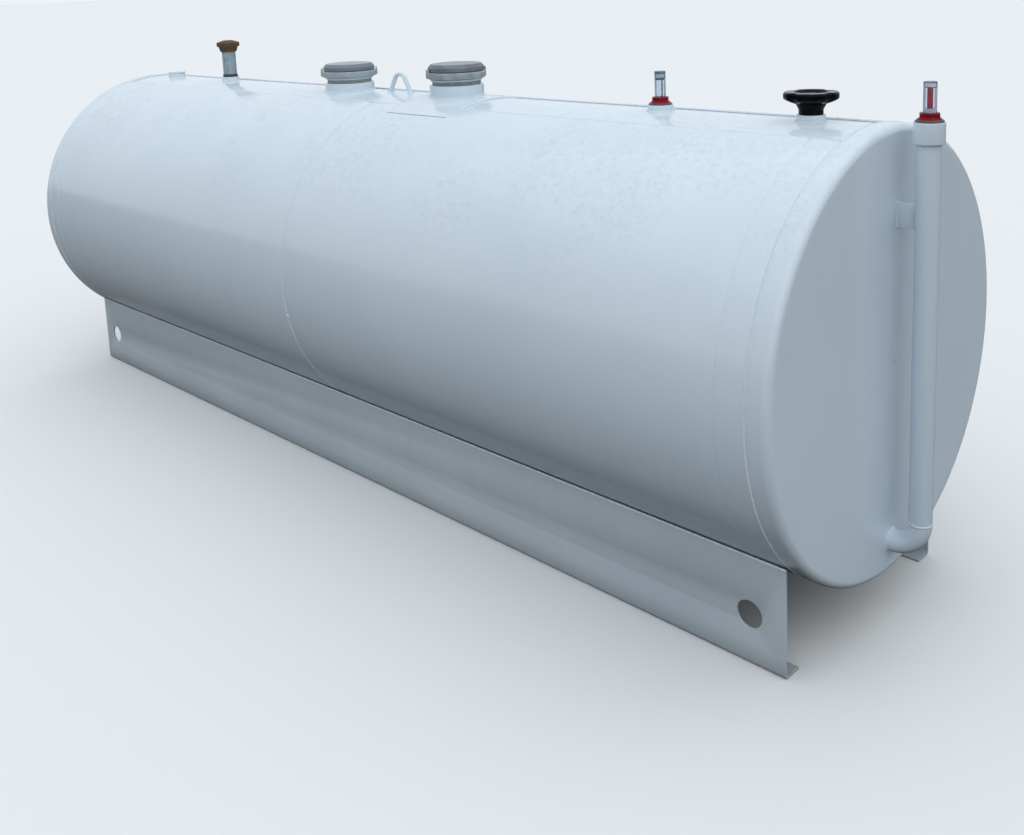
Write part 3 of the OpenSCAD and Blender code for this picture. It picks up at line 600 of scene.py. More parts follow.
def makeBeadTree():
    # lays overlapping dabs along a path, as a weld bead or a run of sealant has them
    g = Group("layBead", "GeometryNodeTree", ("Bead", geometry),
              {"Path": geometry, "Pitch": 0.004, "Length": 0.003, "Width": 0.004, "Height": 0.0015,
               "Uneven": 0.15, "Wander": 0.0004, "Seed": 1, "Material": material})
    take = g.take
    line = g.first("GeometryNodeMeshToCurve", {0: take["Path"]})
    spaced = g.first("GeometryNodeResampleCurve", {"Curve": line, "Length": take["Pitch"]}, mode="LENGTH")
    # a dab lies along the path and stands on the surface
    up = g.first("GeometryNodeInputNamedAttribute", {"Name": "up"}, data_type="FLOAT_VECTOR")
    ahead = g.first("GeometryNodeInputTangent")
    lying = g.first("FunctionNodeAlignRotationToVector", {"Vector": ahead}, axis="X")
    standing = g.first("FunctionNodeAlignRotationToVector", {"Rotation": lying, "Vector": up},
                       axis="Z", pivot_axis="X")
    turn = g.add("GeometryNodeCaptureAttribute", {"Geometry": spaced})
    turn.capture_items.new("ROTATION", "turn")
    g.link(standing, turn.inputs["turn"])
    # and has a size and a place a little of its own
    low, high = g.calc("SUBTRACT", 1.0, take["Uneven"]), g.calc("ADD", 1.0, take["Uneven"])
    scales = {}
    for axis, offset, size in ((0, 0, "Length"), (1, 7, "Width"), (2, 13, "Height")):
        own = {2: low, 3: high, "Seed": g.calc("ADD", take["Seed"], offset)}
        share = g.add("FunctionNodeRandomValue", own, data_type="FLOAT").outputs[1]
        scales[axis] = g.times(share, take[size])
    cube = {0: (-1, -1, -1), 1: (1, 1, 1), "Seed": g.calc("ADD", take["Seed"], 29)}
    wander = g.scaled(g.first("FunctionNodeRandomValue", cube, data_type="FLOAT_VECTOR"), take["Wander"])
    points = g.first("GeometryNodeCurveToPoints", {"Curve": turn.outputs["Geometry"]}, mode="EVALUATED")
    nudged = g.first("GeometryNodeSetPosition", {"Geometry": points, "Offset": wander})
    ball = g.first("GeometryNodeMeshUVSphere", {"Segments": 8, "Rings": 5, "Radius": 1.0})
    dab = g.first("GeometryNodeSetShadeSmooth", {"Geometry": ball})
    return g.giveReal(g.first("GeometryNodeInstanceOnPoints", {
        "Points": nudged, "Instance": dab, "Rotation": turn.outputs["turn"],
        "Scale": g.first("ShaderNodeCombineXYZ", scales)}))


def makeThreadTree():
    # a screw thread: a small section swept along a helix
    g = Group("cutThread", "GeometryNodeTree", ("Thread", geometry),
              {"Blank": geometry, "Radius": 0.08, "Pitch": 0.0032, "Turns": 4.0, "Section": 0.0012,
               "Place": vector, "Material": material})
    radius, rise = g.take["Radius"], g.times(g.take["Pitch"], g.take["Turns"])
    helix = g.first("GeometryNodeCurveSpiral", {"Resolution": 64, "Rotations": g.take["Turns"],
                                                "Start Radius": radius, "End Radius": radius, "Height": rise})
    section = g.first("GeometryNodeCurvePrimitiveCircle", {"Resolution": 4, "Radius": g.take["Section"]})
    swept = g.first("GeometryNodeCurveToMesh", {"Curve": helix, "Profile Curve": section, "Fill Caps": True})
    return g.giveReal(g.first("GeometryNodeTransform", {"Geometry": swept, "Translation": g.take["Place"]}))


def grown(name, mesh, tree, values):
    # one mesh through one tree; inputs are found by the socket's identifier
    def setUp(carrier):
        modifier = carrier.modifiers.new(name, "NODES")
        modifier.node_group = tree
        for item in tree.interface.items_tree:
            if item.in_out == "INPUT" and item.name in values:
                modifier[item.identifier] = values[item.name]
    return withModifiers(name, mesh, setUp)


rollTree, beadTree, threadTree = makeRollTree(), makeBeadTree(), makeThreadTree()
print("node trees made")


# paths for beads: (points, the directions they face, whether the path is closed)
def pathMesh(paths):
    points, edges, ups = [], [], []
    for line, lift, closed in paths:
        start = len(points)
        points += [tuple(p) for p in line]
        ups += [tuple(u) for u in lift]
        edges += [(start + i, start + i + 1) for i in range(len(line) - 1)]
        if closed:
            edges.append((start + len(line) - 1, start))
    mesh = bpy.data.meshes.new("path")
    mesh.from_pydata(points, edges, [])
    layer = mesh.attributes.new("up", "FLOAT_VECTOR", "POINT")
    layer.data.foreach_set("vector", [value for up in ups for value in up])
    return mesh


def straight(start, end, up, step):
    count = max(1, round(dist(start, end) / step))
    points = [[a + (b - a) * i / count for a, b in zip(start, end)] for i in range(count + 1)]
    return points, [Vector(up).normalized()] * (count + 1), False


def loop(step, spot):
    # spot gives the place and the direction at an angle; step is in degrees
    points, ups = zip(*[spot(radians(i * step)) for i in range(int(360 / step))])
    return points, ups, True


def circleRound(x, radius, start=0.0, end=360.0, step=1.5):
    count = int(round((end - start) / step))
    closed = abs(end - start - 360.0) < 1e-6
    angles = [start + (end - start) * i / count for i in range(count + (0 if closed else 1))]
    return [onTank(x, a, radius) for a in angles], [outward(a) for a in angles], closed


def layBead(name, paths, size, slot="tank_paint", finish=None):
    values = {"Uneven": 0.15, "Wander": 0.0003, "Material": finish or finishes[slot],
              **{key.capitalize(): value for key, value in size.items()}}
    keepPiece(name, grown(name, pathMesh(paths), beadTree, values), "tank", slot, finish=finish, sharp=None)


# outer wrap
wrap = {"wall": 0.0034, "bar": 0.012, "near": -16.0, "far": 11.0, "padFrom": 0.206, "padTo": 0.511, "pad": 22.0,
        "gap": 0.0003, "wave": 0.0007, "waveSize": 2.6, "dip": 0.0018, "dipWidth": 0.026, "seed": 5.0,
        "crease": 0.088, "creaseDepth": 0.0012, "creaseWidth": 0.0030, "lengthStep": 0.03, "arcStep": 0.0213}


def stations(start, end, step, extra):
    count = max(1, round((end - start) / step))
    values = [start + (end - start) * i / count for i in range(count + 1)]
    return sorted(set([round(v, 6) for v in values] + [round(v, 6) for v in extra if start <= v <= end]))


def blankOf(xs, ys, keep, top, wall):
    # flat plate on a grid of stations; keep says which cells are there
    work = bmesh.new()
    grid = [[work.verts.new((x, y, top)) for y in ys] for x in xs]
    for i in range(len(xs) - 1):
        for j in range(len(ys) - 1):
            if keep((xs[i] + xs[i + 1]) / 2, (ys[j] + ys[j + 1]) / 2):
                work.faces.new((grid[i][j], grid[i + 1][j], grid[i + 1][j + 1], grid[i][j + 1]))
    bmesh.ops.delete(work, geom=[v for v in work.verts if not v.link_faces], context="VERTS")
    made = bmesh.ops.extrude_face_region(work, geom=list(work.faces), use_keep_orig=True)
    lower = [part for part in made["geom"] if isinstance(part, bmesh.types.BMVert)]
    bmesh.ops.translate(work, verts=lower, vec=(0, 0, -wall))
    bmesh.ops.recalc_face_normals(work, faces=work.faces)
    # an extrusion lists its side walls in another order each run, so the faces are sorted by place
    centres = {face: tuple(face.calc_center_median()) for face in work.faces}
    rank = {centre: i for i, centre in enumerate(sorted(centres.values()))}
    work.faces.sort(key=lambda face: rank[centres[face]])
    return work


def joinWork(target, other):
    mesh = asMesh("part", other)
    target.from_mesh(mesh)
    bpy.data.meshes.remove(mesh)


def wrapPiece(name, node, start, end, hasPad):
    radius, gap, bar = tank["radius"], wrap["gap"], wrap["bar"]
    arc = radius * pi / 180
    padFrom, padTo, cut = wrap["padFrom"] - gap, wrap["padTo"] + gap, wrap["pad"] * arc + gap
    low, high = wrap["far"] * arc, (360 + wrap["near"]) * arc
    # the crease is the mark that the inner ring leaves, a hand's width from the head
    crease = (end - wrap["crease"]) if hasPad else (start + wrap["crease"])
    extra = [crease + wrap["creaseWidth"] * k for k in (-2.0, -1.2, -0.5, 0.0, 0.5, 1.2, 2.0)]
    if hasPad:
        extra += [padFrom, padTo]
    xs = stations(start, end, wrap["lengthStep"], extra)
    ys = stations(low, high, wrap["arcStep"], (cut, 360 * arc - cut, low + bar, high - bar))

    def besidePad(x, y):
        return not (hasPad and padFrom < x < padTo)

    def plateAt(x, y):
        return besidePad(x, y) or cut < y < 360 * arc - cut
    work = blankOf(xs, ys, plateAt, 0.0, wrap["wall"])
    depth = radius - wrap["wall"] - tank["shellRadius"] - gap
    for a, b in ((low, low + bar), (high - bar, high)):
        joinWork(work, blankOf(xs, [a, b], besidePad, -wrap["wall"], depth))
    values = {"Radius": radius, "Wave Depth": wrap["wave"], "Wave Size": wrap["waveSize"],
              "Seam Dip": wrap["dip"], "Dip Width": wrap["dipWidth"], "Left Seam": start, "Right Seam": end,
              "Crease": crease, "Crease Depth": wrap["creaseDepth"], "Crease Width": wrap["creaseWidth"],
              "Seed": wrap["seed"], "Centre": (tank["x"], 0.0, tank["z"]), "Material": finishes["tank_paint"]}
    mesh = grown(name, asMesh(name, work), rollTree, values)
    keepPiece(name, mesh, "tank", "tank_paint", (node,), sharp=40.0)


wrapPiece("wrapCourseRear", "wrap_rear", -tank["seam"], tank["girth"], False)
wrapPiece("wrapCourseFront", "wrap_front", tank["girth"], tank["seam"], True)
print("wrap rolled")

# heads, in millimetres; the wave is in metres and fades out towards the knuckle
head = {"depth": 64.0, "knuckle": 22.0, "wall": 6.4, "dip": 1.5, "dipWidth": 9.0, "rings": 26, "segments": 240,
        "outerSteps": 14, "innerSteps": 8, "flange": (18, 12, 8, 5, 2.5, 0), "innerRing": 300,
        "wave": 0.0012, "waveSize": 1.9, "waveTo": 590, "waveFade": 120, "waveSeed": 7.3}


def headOutline():
    # from the middle of the face out over the knuckle to the seam, then back inside; (r, depth)
    r, depth, knuckle, wall = tank["radius"] * 1000, head["depth"], head["knuckle"], head["wall"]

    def onKnuckle(share, reach):
        a = pi / 2 * share
        return r - knuckle + reach * cos(a), depth - knuckle + reach * sin(a)
    outline = [((r - knuckle) * i / head["rings"], depth) for i in range(head["rings"] + 1)]
    outer, inner = head["outerSteps"], head["innerSteps"]
    outline += [onKnuckle(1 - step / outer, knuckle) for step in range(1, outer + 1)]
    outline += [(r - head["dip"] * exp(-(t / head["dipWidth"]) ** 2), t) for t in head["flange"]]
    outline += [(r - wall, 0)] + [onKnuckle(step / inner, knuckle - wall) for step in range(inner + 1)]
    return outline + [(head["innerRing"], depth - wall), (0, depth - wall)]


def headPiece(name, node, side):
    base = tank["x"] + side * tank["seam"]

    def spot(r, t, a):
        y, z = r / 1000 * sin(a), r / 1000 * cos(a)
        ease = min(1.0, max(0.0, (head["waveTo"] - r) / head["waveFade"])) if t > head["depth"] / 2 else 0.0
        wave = noise.noise(Vector((side * head["waveSeed"], y, z)) * head["waveSize"])
        sink = head["wave"] * ease * (0.5 + wave)
        return base + side * (t / 1000 - max(0.0, sink)), y, tank["z"] + z
    work = joinRings([[spot(r, t, a) for a in turns(head["segments"])] for r, t in headOutline()])
    keepPiece(name, closedMesh(name, work), "tank", "tank_paint", (node,), sharp=40.0)


headPiece("headRearPressed", "head_rear", -1)
headPiece("headFrontPressed", "head_front", 1)
print("heads pressed")

# welds on the tank; the middle of a bead is sunk under the surface beside it, or raised over it
seamBead = {"sunk": 0.00315, "pitch": 0.0042, "length": 0.0034, "width": 0.0040, "height": 0.0026,
            "uneven": 0.08, "seed": 11}
dipped = tank["radius"] - seamBead["sunk"]
layBead("seamWelds", [
    circleRound(tank["girth"], dipped, wrap["far"], 360 + wrap["near"]),
    circleRound(-tank["seam"], dipped),
    circleRound(tank["seam"], dipped),
], seamBead, finish=beadPaint)

# a blob where the girth weld was restarted
blob = {"beside": 0.002, "sunk": 0.0024, "from": -102.5, "to": -101.5, "step": 0.2, "pitch": 0.0042,
        "length": 0.006, "width": 0.0066, "height": 0.0042, "uneven": 0.0, "seed": 12}
blobPath = circleRound(tank["girth"] + blob["beside"], tank["radius"] - blob["sunk"], blob["from"], blob["to"],
                       blob["step"])
layBead("weldBlob", [blobPath], blob, finish=beadPaint)

# along both edges of the bare strip; each bead leans away from the wrap's edge
edgeBead = {"raised": 0.0038, "inside": 0.15, "lean": 35, "step": 0.02, "pitch": 0.0046, "length": 0.0046,
            "width": 0.0042, "height": 0.0036, "uneven": 0.14, "seed": 23}


def alongTank(angle, start, end, radius):
    leaning = angle - edgeBead["lean"] * (1 if angle > 0 else -1)
    first, last = onTank(start, angle, radius), onTank(end, angle, radius)
    return straight(first, last, outward(leaning), edgeBead["step"])


layBead("stripWelds", [
    alongTank(angle, start, end, tank["shellRadius"] + edgeBead["raised"])
    for start, end in ((-tank["seam"], wrap["padFrom"]), (wrap["padTo"], tank["seam"]))
    for angle in (wrap["near"] + edgeBead["inside"], wrap["far"] - edgeBead["inside"])
], edgeBead)

padBead = {"sunk": 0.0004, "pitch": 0.0042, "length": 0.0036, "width": 0.0042, "height": 0.0016, "uneven": 0.2,
           "seed": 31}
padEdge, padRadius = wrap["pad"], tank["radius"] - padBead["sunk"]
layBead("padWelds",
        [alongTank(angle, wrap["padFrom"], wrap["padTo"], padRadius) for angle in (-padEdge, padEdge)]
        + [circleRound(x, padRadius, start, end) for x in (wrap["padFrom"], wrap["padTo"])
           for start, end in ((-padEdge, wrap["near"]), (wrap["far"], padEdge))], padBead)

# sloping fillets where the crest strip ends against a raised edge
stepBead = {"raised": 0.0031, "beside": 0.0020, "step": 0.8, "pitch": 0.0040, "length": 0.0046,
            "width": 0.0056, "height": 0.0026, "uneven": 0.12, "wander": 0.0002, "seed": 37}


def stepFillet(x, side):
    # side is the way the fillet faces
    points, ups, closed = circleRound(x + side * stepBead["beside"], tank["shellRadius"] + stepBead["raised"],
                                      wrap["near"], wrap["far"], stepBead["step"])
    return points, [(up + Vector((side, 0, 0))).normalized() for up in ups], closed


layBead("stepWelds", [stepFillet(-tank["seam"], 1), stepFillet(tank["seam"], -1),
                      stepFillet(wrap["padFrom"], -1), stepFillet(wrap["padTo"], 1)], stepBead)

# couplings in the crest, in millimetres; the beads round their feet are in metres
coupling = {"out": 38.35, "bore": 30.45, "height": 44, "foot": 1.0, "edge": 1.6, "chamfer": 2.2, "lip": 0.6,
            "segments": 72, "footStep": 6.0}
ventCoupling = {"out": 97.0, "bore": 84.45, "height": 64, "foot": 1.5, "edge": 3.0, "chamfer": 3, "lip": 1.0,
                "segments": 128, "footStep": 3.0}
footBead = {"beside": 0.0006, "raised": 0.0004, "raisedOnPad": 0.0002, "pitch": 0.0042, "length": 0.0038,
            "width": 0.0042, "height": 0.0036, "uneven": 0.2, "seed": 41}


def roundFoot(x, size, surface):
    # where an upright fitting meets the crest
    radius = size["out"] / 1000 + footBead["beside"]

    def spot(a):
        px, py = radius * cos(a), radius * sin(a)
        pz = sqrt(surface * surface - py * py)
        up = Vector((cos(a), sin(a), 0)) + Vector((0, py / surface, pz / surface))
        return (tank["x"] + x + px, py, tank["z"] + pz), up.normalized()
    return loop(size["footStep"], spot)


onShell = tank["shellRadius"] + footBead["raised"]
couplingPlaces = {"plug": -tank["ends"], "riser": -tank["nexts"], "gauge": tank["nexts"], "fill": tank["ends"]}
feet = [roundFoot(x, coupling, onShell) for x in couplingPlaces.values()]
feet.append(roundFoot(-tank["vents"], ventCoupling, onShell))
feet.append(roundFoot(tank["vents"], ventCoupling, tank["radius"] + footBead["raisedOnPad"]))
layBead("couplingWelds", feet, footBead)
print("welds laid")


def couplingPiece(name, node, x, top, size):
    out, bore, height, chamfer = size["out"], size["bore"], size["height"], size["chamfer"]
    corners = [(out, -height, size["foot"]), (out, 0, size["edge"]), (bore + chamfer, 0, size["lip"]),
               (bore, -chamfer), (bore, -height)]
    lathe(name, corners, (tank["x"] + x, 0, top), "tank_paint", (node,), size["segments"])


for label, place in couplingPlaces.items():
    couplingPiece(label + "Coupling", label + "_coupling", place, tank["couplingTop"], coupling)
monitorCoupling = {**coupling, "height": 54}
couplingPiece("monitorCoupling", "monitor_coupling", tank["monitor"], tank["couplingTop"], monitorCoupling)

# vents; outlines in millimetres, the thread and the heights over the coupling in metres
vent = {"thread": 0.0862, "pitch": 0.0032, "turns": 3.2, "section": 0.0014, "threadUp": 0.0012,
        "coverUp": 0.0483, "soft": 0.0012,
        "ridge": [(86.6, 13.0), (90.2, 13.8, 0.8), (92.8, 16.4, 1.0), (93.6, 19.6), (86.6, 17.2)],
        "cover": [(0, 0.3), (92, 0.3, 1.0), (94, 1.6, 1.0), (98.4, 0.3, 1.0), (101, 1.8, 1.6), (101, 14.6, 1.2),
                  (90.0, 26.4, 2.4), (74, 28.2, 8.0), (30, 30.2, 10.0), (0, 30.6)]}


def ventPieces(side, label, body):
    x, top = tank["x"] + side * tank["vents"], tank[label + "VentTop"]
    couplingPiece(label + "VentCoupling", label + "_vent_coupling", side * tank["vents"], top, ventCoupling)
    softPiece(label + "VentBody", label + "_vent_body", "vent_metal", vent["soft"])
    values = {"Radius": vent["thread"], "Pitch": vent["pitch"], "Turns": vent["turns"],
              "Section": vent["section"], "Place": (x, 0.0, top + vent["threadUp"]), "Material": threadMetal}
    thread = grown(label + "VentThread", bpy.data.meshes.new("blank"), threadTree, values)
    keepPiece(label + "VentThread", thread, "tank", "vent_metal", finish=threadMetal)
    # cast ridge round the foot of the flare, in a paler copy of the vent metal that paints a highlight along
    # the flare's foot
    lathe(label + "VentRidge", vent["ridge"], (x, 0, top), "vent_metal", segments=128, finish=ventRimMetal)
    # pressed cover with a rolled edge, a shallow crown and a small drip lip under it
    lathe(label + "VentCover", vent["cover"], (x, 0, top + vent["coverUp"]), "vent_metal",
          (label + "_vent_cover",), 144, ventCoverMetal, body)


ventPieces(-1, "rear", "rear_vent_lid")
ventPieces(1, "front", "front_vent_lid")
print("vents made")


def pipeOutline(low, high, outerEdge=0, innerEdge=0):
    return [(pipe["out"], low, 0.5), (pipe["out"], high, outerEdge), (pipe["bore"], high, innerEdge),
            (pipe["bore"], low)]


# riser
riser = {"low": -20, "high": 133.6,
         "seal": [(30.2, -1.5), (33.6, -0.8, 0.8), (33.0, 5.0, 2.0), (33.0, 8.0, 2.0), (31.4, 12.4, 1.2),
                  (30.2, 12.8)],
         "cap": [(30.5, 114.0), (34.8, 114.0, 1.2), (36.2, 116.4, 1.2), (42.4, 136.0, 2.2), (45.5, 138.0, 1.6),
                 (50.4, 138.4, 2.2), (50.9, 155.6, 2.6), (21, 165.6, 3.0), (0, 165.9), (0, 134.2),
                 (30.5, 134.2)]}
riserAt = (tank["x"] - tank["nexts"], 0, tank["couplingTop"])
lathe("riserPipe", pipeOutline(riser["low"], riser["high"], 0.8, 0.5), riserAt, "galvanised",
      ("riser_pipe",), 72)
lathe("riserSealRing", riser["seal"], riserAt, "dark_fitting", segments=72, finish=sealant)
lathe("riserCap", riser["cap"], riserAt, "rusty_iron", ("riser_cap",), 96)

# gauges, in millimetres; soft is in metres
gauge = {"seat": 23.0, "height": 77.0, "out": 16.25, "bore": 13.25, "soft": 0.0010,
         "ring": [(26.25, -20), (30.15, -20, 0.5), (30.15, -0.4), (35.4, -0.4, 0.8), (36.0, 1.0, 0.6),
                  (32.2, 5.9, 0.8), (26.25, 5.9)],
         "leakSeat": [(7.1, 0), (13.1, 0), (13.1, 10.6, 0.5), (7.1, 10.6)]}


def gaugePieces(label, prefix, x, topBlock, band, fillFinish):
    # topBlock is the solid top of the tube, band the dark ring round it
    at = (tank["x"] + x, 0, tank["couplingTop"])
    lathe(label + "Ring", gauge["ring"], at, "dark_fitting", (prefix + "_ring",), 72)
    softPiece(label + "Body", prefix + "_body", "gauge_red", gauge["soft"])
    tall, out, bore = gauge["height"], gauge["out"], gauge["bore"]
    inner, bandLow, foot = tall - topBlock, tall - band, (at[0], at[1], at[2] + gauge["seat"] / 1000)
    lathe(label + "Tube", [(out, 0), (out, tall, 1.0), (0, tall), (0, inner), (bore, inner, 0.8), (bore, 0)],
          foot, "clear_tube", (prefix + "_tube",))
    lathe(label + "TopBand", [(16.2, bandLow, 0.1), (16.4, bandLow, 0.1), (16.4, tall - 0.6, 0.3),
                              (15.6, tall + 0.1, 0.2), (0, tall + 0.1), (0, tall), (16.2, tall - 0.7)],
          foot, "clear_tube", finish=smokeBand)
    lathe(label + "TopFill", [(0, inner + 0.6), (14.6, inner + 0.6, 0.4), (14.6, bandLow - 0.5, 0.4),
                              (0, bandLow - 0.5)], foot, "clear_tube", finish=fillFinish)
    lathe(label + "ChamberTop", [(10.5, inner - 1.6), (13.2, inner - 1.6, 0.2), (13.2, inner - 0.1),
                                 (10.5, inner - 0.1)], foot, "clear_tube", segments=48, finish=smokeBand)
    return foot


gaugePieces("levelGauge", "gauge", tank["nexts"], 20.0, 7.0, greyPlastic)
leakFoot = gaugePieces("leakGauge", "leak", tank["monitor"], 13.0, 1.8, milkyPlastic)
lathe("leakGaugeSeat", gauge["leakSeat"], leakFoot, "clear_tube", segments=48, finish=milkyPlastic)
print("gauges made")

# fill cap, in millimetres: a disc with rounded notches between its lobes
fill = {"radius": 73.0, "notchAt": 79.0, "notch": 18.0, "lobes": 4, "turn": 30.0, "under": 13.0, "height": 33.0,
        "dish": 44.0, "dishDepth": 6.0, "round": 6.0, "soft": 5.0, "middle": 40.0, "up": 28.0, "segments": 256,
        "neck": [(0, -20), (30.15, -20, 0.5), (30.15, 0), (31.6, 0, 0.4), (32.5, 1.0, 0.6), (32.5, 13.2, 1.5),
                 (39.9, 27.6, 0.6), (36.0, 28.0), (0, 28.0)]}
fillAt = (tank["x"] + tank["ends"], 0, tank["couplingTop"])


def lobed(angle):
    # radius of the cap's outline, seen from above
    outer, soft = fill["radius"], fill["soft"]
    for i in range(fill["lobes"]):
        middle = radians(fill["turn"] + 360 / fill["lobes"] * (i + 0.5))
        off = (angle - middle + pi) % (2 * pi) - pi
        reach = fill["notch"] ** 2 - (fill["notchAt"] * sin(off)) ** 2
        if abs(off) < pi / 2 and reach > 0:
            near = fill["notchAt"] * cos(off) - sqrt(reach)
            h = max(0.0, soft - abs(near - outer)) / soft
            outer = min(outer, near) - h * h * soft / 4
    return outer


def fillCapPiece():
    at = Vector((*fillAt[:2], fillAt[2] + fill["up"] / 1000))
    under, height, edge, dish = fill["under"], fill["height"], fill["round"], fill["dish"]
    floor = height - fill["dishDepth"]
    # a level is a radius, a share of the sloping underside or a depth inside the outline, and its height
    levels = [("radius", 0.0, 0.0), ("radius", fill["middle"] - 1, 0.0), ("under", 0.35, None),
              ("under", 0.75, None), ("inside", 2.6, under + 0.4), ("inside", 0.8, under + 2.4),
              ("inside", 0.0, under + 5.0)]
    for step in range(7):
        a = pi / 2 * step / 6
        levels.append(("inside", edge * (1 - cos(a)), height - edge + edge * sin(a)))
    hollow = ((dish + 1.2, height), (dish, height - 1.0), (dish - 3.0, floor + 0.6), (dish - 6.0, floor),
              (0.0, floor + 1.0))
    levels += [("radius", r, z) for r, z in hollow]

    def spot(kind, value, z, a):
        outer, middle = lobed(a), fill["middle"]
        r = {"radius": value, "under": middle + (outer - middle) * value, "inside": outer - value}[kind]
        if kind == "under":
            z = under * (r - middle) / (fill["radius"] - middle)
        return at + Vector((r * cos(a), r * sin(a), z)) / 1000
    work = joinRings([[spot(*level, a) for a in turns(fill["segments"])] for level in levels])
    mesh = closedMesh("fillCapLobed", work)
    keepPiece("fillCapLobed", mesh, "tank", "black_plastic", ("fill_cap",), sharp=50.0)


fillCapPiece()
lathe("fillNeck", fill["neck"], fillAt, "black_plastic", ("fill_neck",), 72)
print("fill cap made")

# monitor pipe; low and high in millimetres, the rest in metres
monitor = {"low": 318.4, "high": 1360.9, "foot": 0.0300, "inlet": 0.2444, "inletRadius": 0.0305,
           "bracket": 1.139, "bracketHalf": 0.032, "web": 0.0036, "atElbow": 0.0004, "atHead": 0.0006,
           "atPipe": 0.0302, "soft": 0.0008}
monitorX, faceX = tank["x"] + tank["monitor"], tank["x"] + tank["halfLength"]
lathe("monitorPipe", pipeOutline(monitor["low"], monitor["high"]), (monitorX, 0, 0), "tank_paint",
      ("monitor_pipe",), 72)
pipeBead = {"turnStep": 7.5, "webStep": 0.008, "pitch": 0.0036, "length": 0.0032, "width": 0.0038,
            "height": 0.0022, "uneven": 0.2, "seed": 53}
bracketTop, bracketLow = (monitor["bracket"] + side * monitor["bracketHalf"] for side in (1, -1))


def inletSpot(a):
    # round the elbow where it enters the head
    radius, up = monitor["inletRadius"], Vector((1, 0, 0)) + Vector((0, cos(a), sin(a)))
    place = (faceX + monitor["atElbow"], radius * cos(a), monitor["inlet"] + radius * sin(a))
    return place, up.normalized()


def pipeFootSpot(a):
    radius = monitor["foot"]
    return (monitorX + radius * cos(a), radius * sin(a), monitor["low"] / 1000), (cos(a), sin(a), 0)


def webWeld(x, ahead, side):
    y = side * monitor["web"]
    return straight((x, y, bracketLow), (x, y, bracketTop), (ahead, side, 0), pipeBead["webStep"])


# the bracket's web is welded on both sides to the head and to the pipe
webWelds = [webWeld(x, ahead, side)
            for x, ahead in ((faceX + monitor["atHead"], 1), (monitorX - monitor["atPipe"], -1))
            for side in (-1, 1)]
roundWelds = [loop(pipeBead["turnStep"], spot) for spot in (inletSpot, pipeFootSpot)]
layBead("pipeWelds", roundWelds + webWelds, pipeBead)

# paint gathered along the bracket's upper and lower edge
edgeDrip = {"from": 0.001, "to": 0.025, "sunk": 0.0006, "step": 0.004, "pitch": 0.0036, "length": 0.0036,
            "width": 0.0042, "height": 0.0016, "uneven": 0.1, "seed": 57}


def alongBracket(z, up):
    low, high = faceX + edgeDrip["from"], faceX + edgeDrip["to"]
    return straight((low, 0, z), (high, 0, z), (0, 0, up), edgeDrip["step"])


bracketPaths = [alongBracket(bracketTop - edgeDrip["sunk"], 1), alongBracket(bracketLow + edgeDrip["sunk"], -1)]
layBead("bracketEdges", bracketPaths, edgeDrip, finish=beadPaint)

# scar on the head where something was tacked on beside the pipe and taken off again
scar = {"sunk": 0.0002, "top": (0.003, 0.775), "bottom": (0.0078, 0.748), "step": 0.0046, "pitch": 0.004,
        "length": 0.0042, "width": 0.0036, "height": 0.0022, "uneven": 0.4, "seed": 59}
scarX = faceX - scar["sunk"]
scarPath = straight((scarX, *scar["top"]), (scarX, *scar["bottom"]), (1, 0, 0), scar["step"])
layBead("headScar", [scarPath], scar, finish=beadPaint)
softPiece("monitorBracket", "monitor_bracket", "tank_paint", monitor["soft"])

plug = {"soft": 0.0012}
softPiece("pipePlug", "plug", "tank_paint", plug["soft"])

# welds round the lifting lug's feet
lug = {"foot": 0.0600, "alongX": 0.0104, "alongY": 0.0090, "raised": 0.0004}
lugBead = {"turnStep": 10, "pitch": 0.0034, "length": 0.0034, "width": 0.0048, "height": 0.0040,
           "uneven": 0.25, "seed": 61}


def lugFoot(side):
    def spot(a):
        px, py = lug["alongX"] * cos(a), lug["alongY"] * sin(a)
        pz = sqrt(tank["shellRadius"] ** 2 - py * py) + lug["raised"]
        up = Vector((cos(a), sin(a), 1)).normalized()
        return (tank["x"] + side * lug["foot"] + px, py, tank["z"] + pz), up
    return loop(lugBead["turnStep"], spot)


layBead("lugWelds", [lugFoot(-1), lugFoot(1)], lugBead)

# skid
skid = {"soft": 0.0016, "half": 1.905, "top": 0.3016, "outer": 0.4064, "inner": 0.4012, "endGap": 0.002,
        "step": 0.015}
for node, label in (("skid_near", "skidNear"), ("skid_far", "skidFar"), ("saddle_rear", "saddleRear"),
                    ("saddle_middle", "saddleMiddle"), ("saddle_front", "saddleFront")):
    softPiece(label, node, "skid_paint", skid["soft"])


def alongSkid(side, y, z, lift):
    low, high = [tank["x"] + end * (skid["half"] - skid["endGap"]) for end in (-1, 1)]
    return straight((low, side * y, z), (high, side * y, z), (0, side, lift), skid["step"])


# sealant in the corner under the tank
seal = {"gap": 0.0005, "below": 0.001, "lift": 0.35, "pitch": 0.005, "length": 0.0048, "width": 0.0014,
        "height": 0.0014, "uneven": 0.25, "seed": 71}
meets = tank["z"] - sqrt((tank["radius"] - seal["gap"]) ** 2 - skid["inner"] ** 2)
sealPaths = [alongSkid(side, skid["inner"] + seal["gap"], meets - seal["below"], seal["lift"])
             for side in (-1, 1)]
layBead("skidSealant", sealPaths, seal, "skid_paint", sealant)

# painted highlight: a thin bright bead along the top edge of each skid plate
skidEdgeHighlight = {"below": 0.0012, "lift": 0.5, "pitch": 0.006, "length": 0.0058, "width": 0.0021, "height": 0.0013,
            "uneven": 0.3, "seed": 73}
skidHighlightPaths = [alongSkid(side, skid["outer"], skid["top"] - skidEdgeHighlight["below"], skidEdgeHighlight["lift"])
             for side in (-1, 1)]
layBead("skidEdgeHighlights", skidHighlightPaths, skidEdgeHighlight, "skid_paint", beadPaint)
print("skid made")

# floor, light and camera
floorLook = {"bounce": 0.04, "shown": (0.76, 0.79, 0.81), "mirrored": 0.2, "size": 400.0}


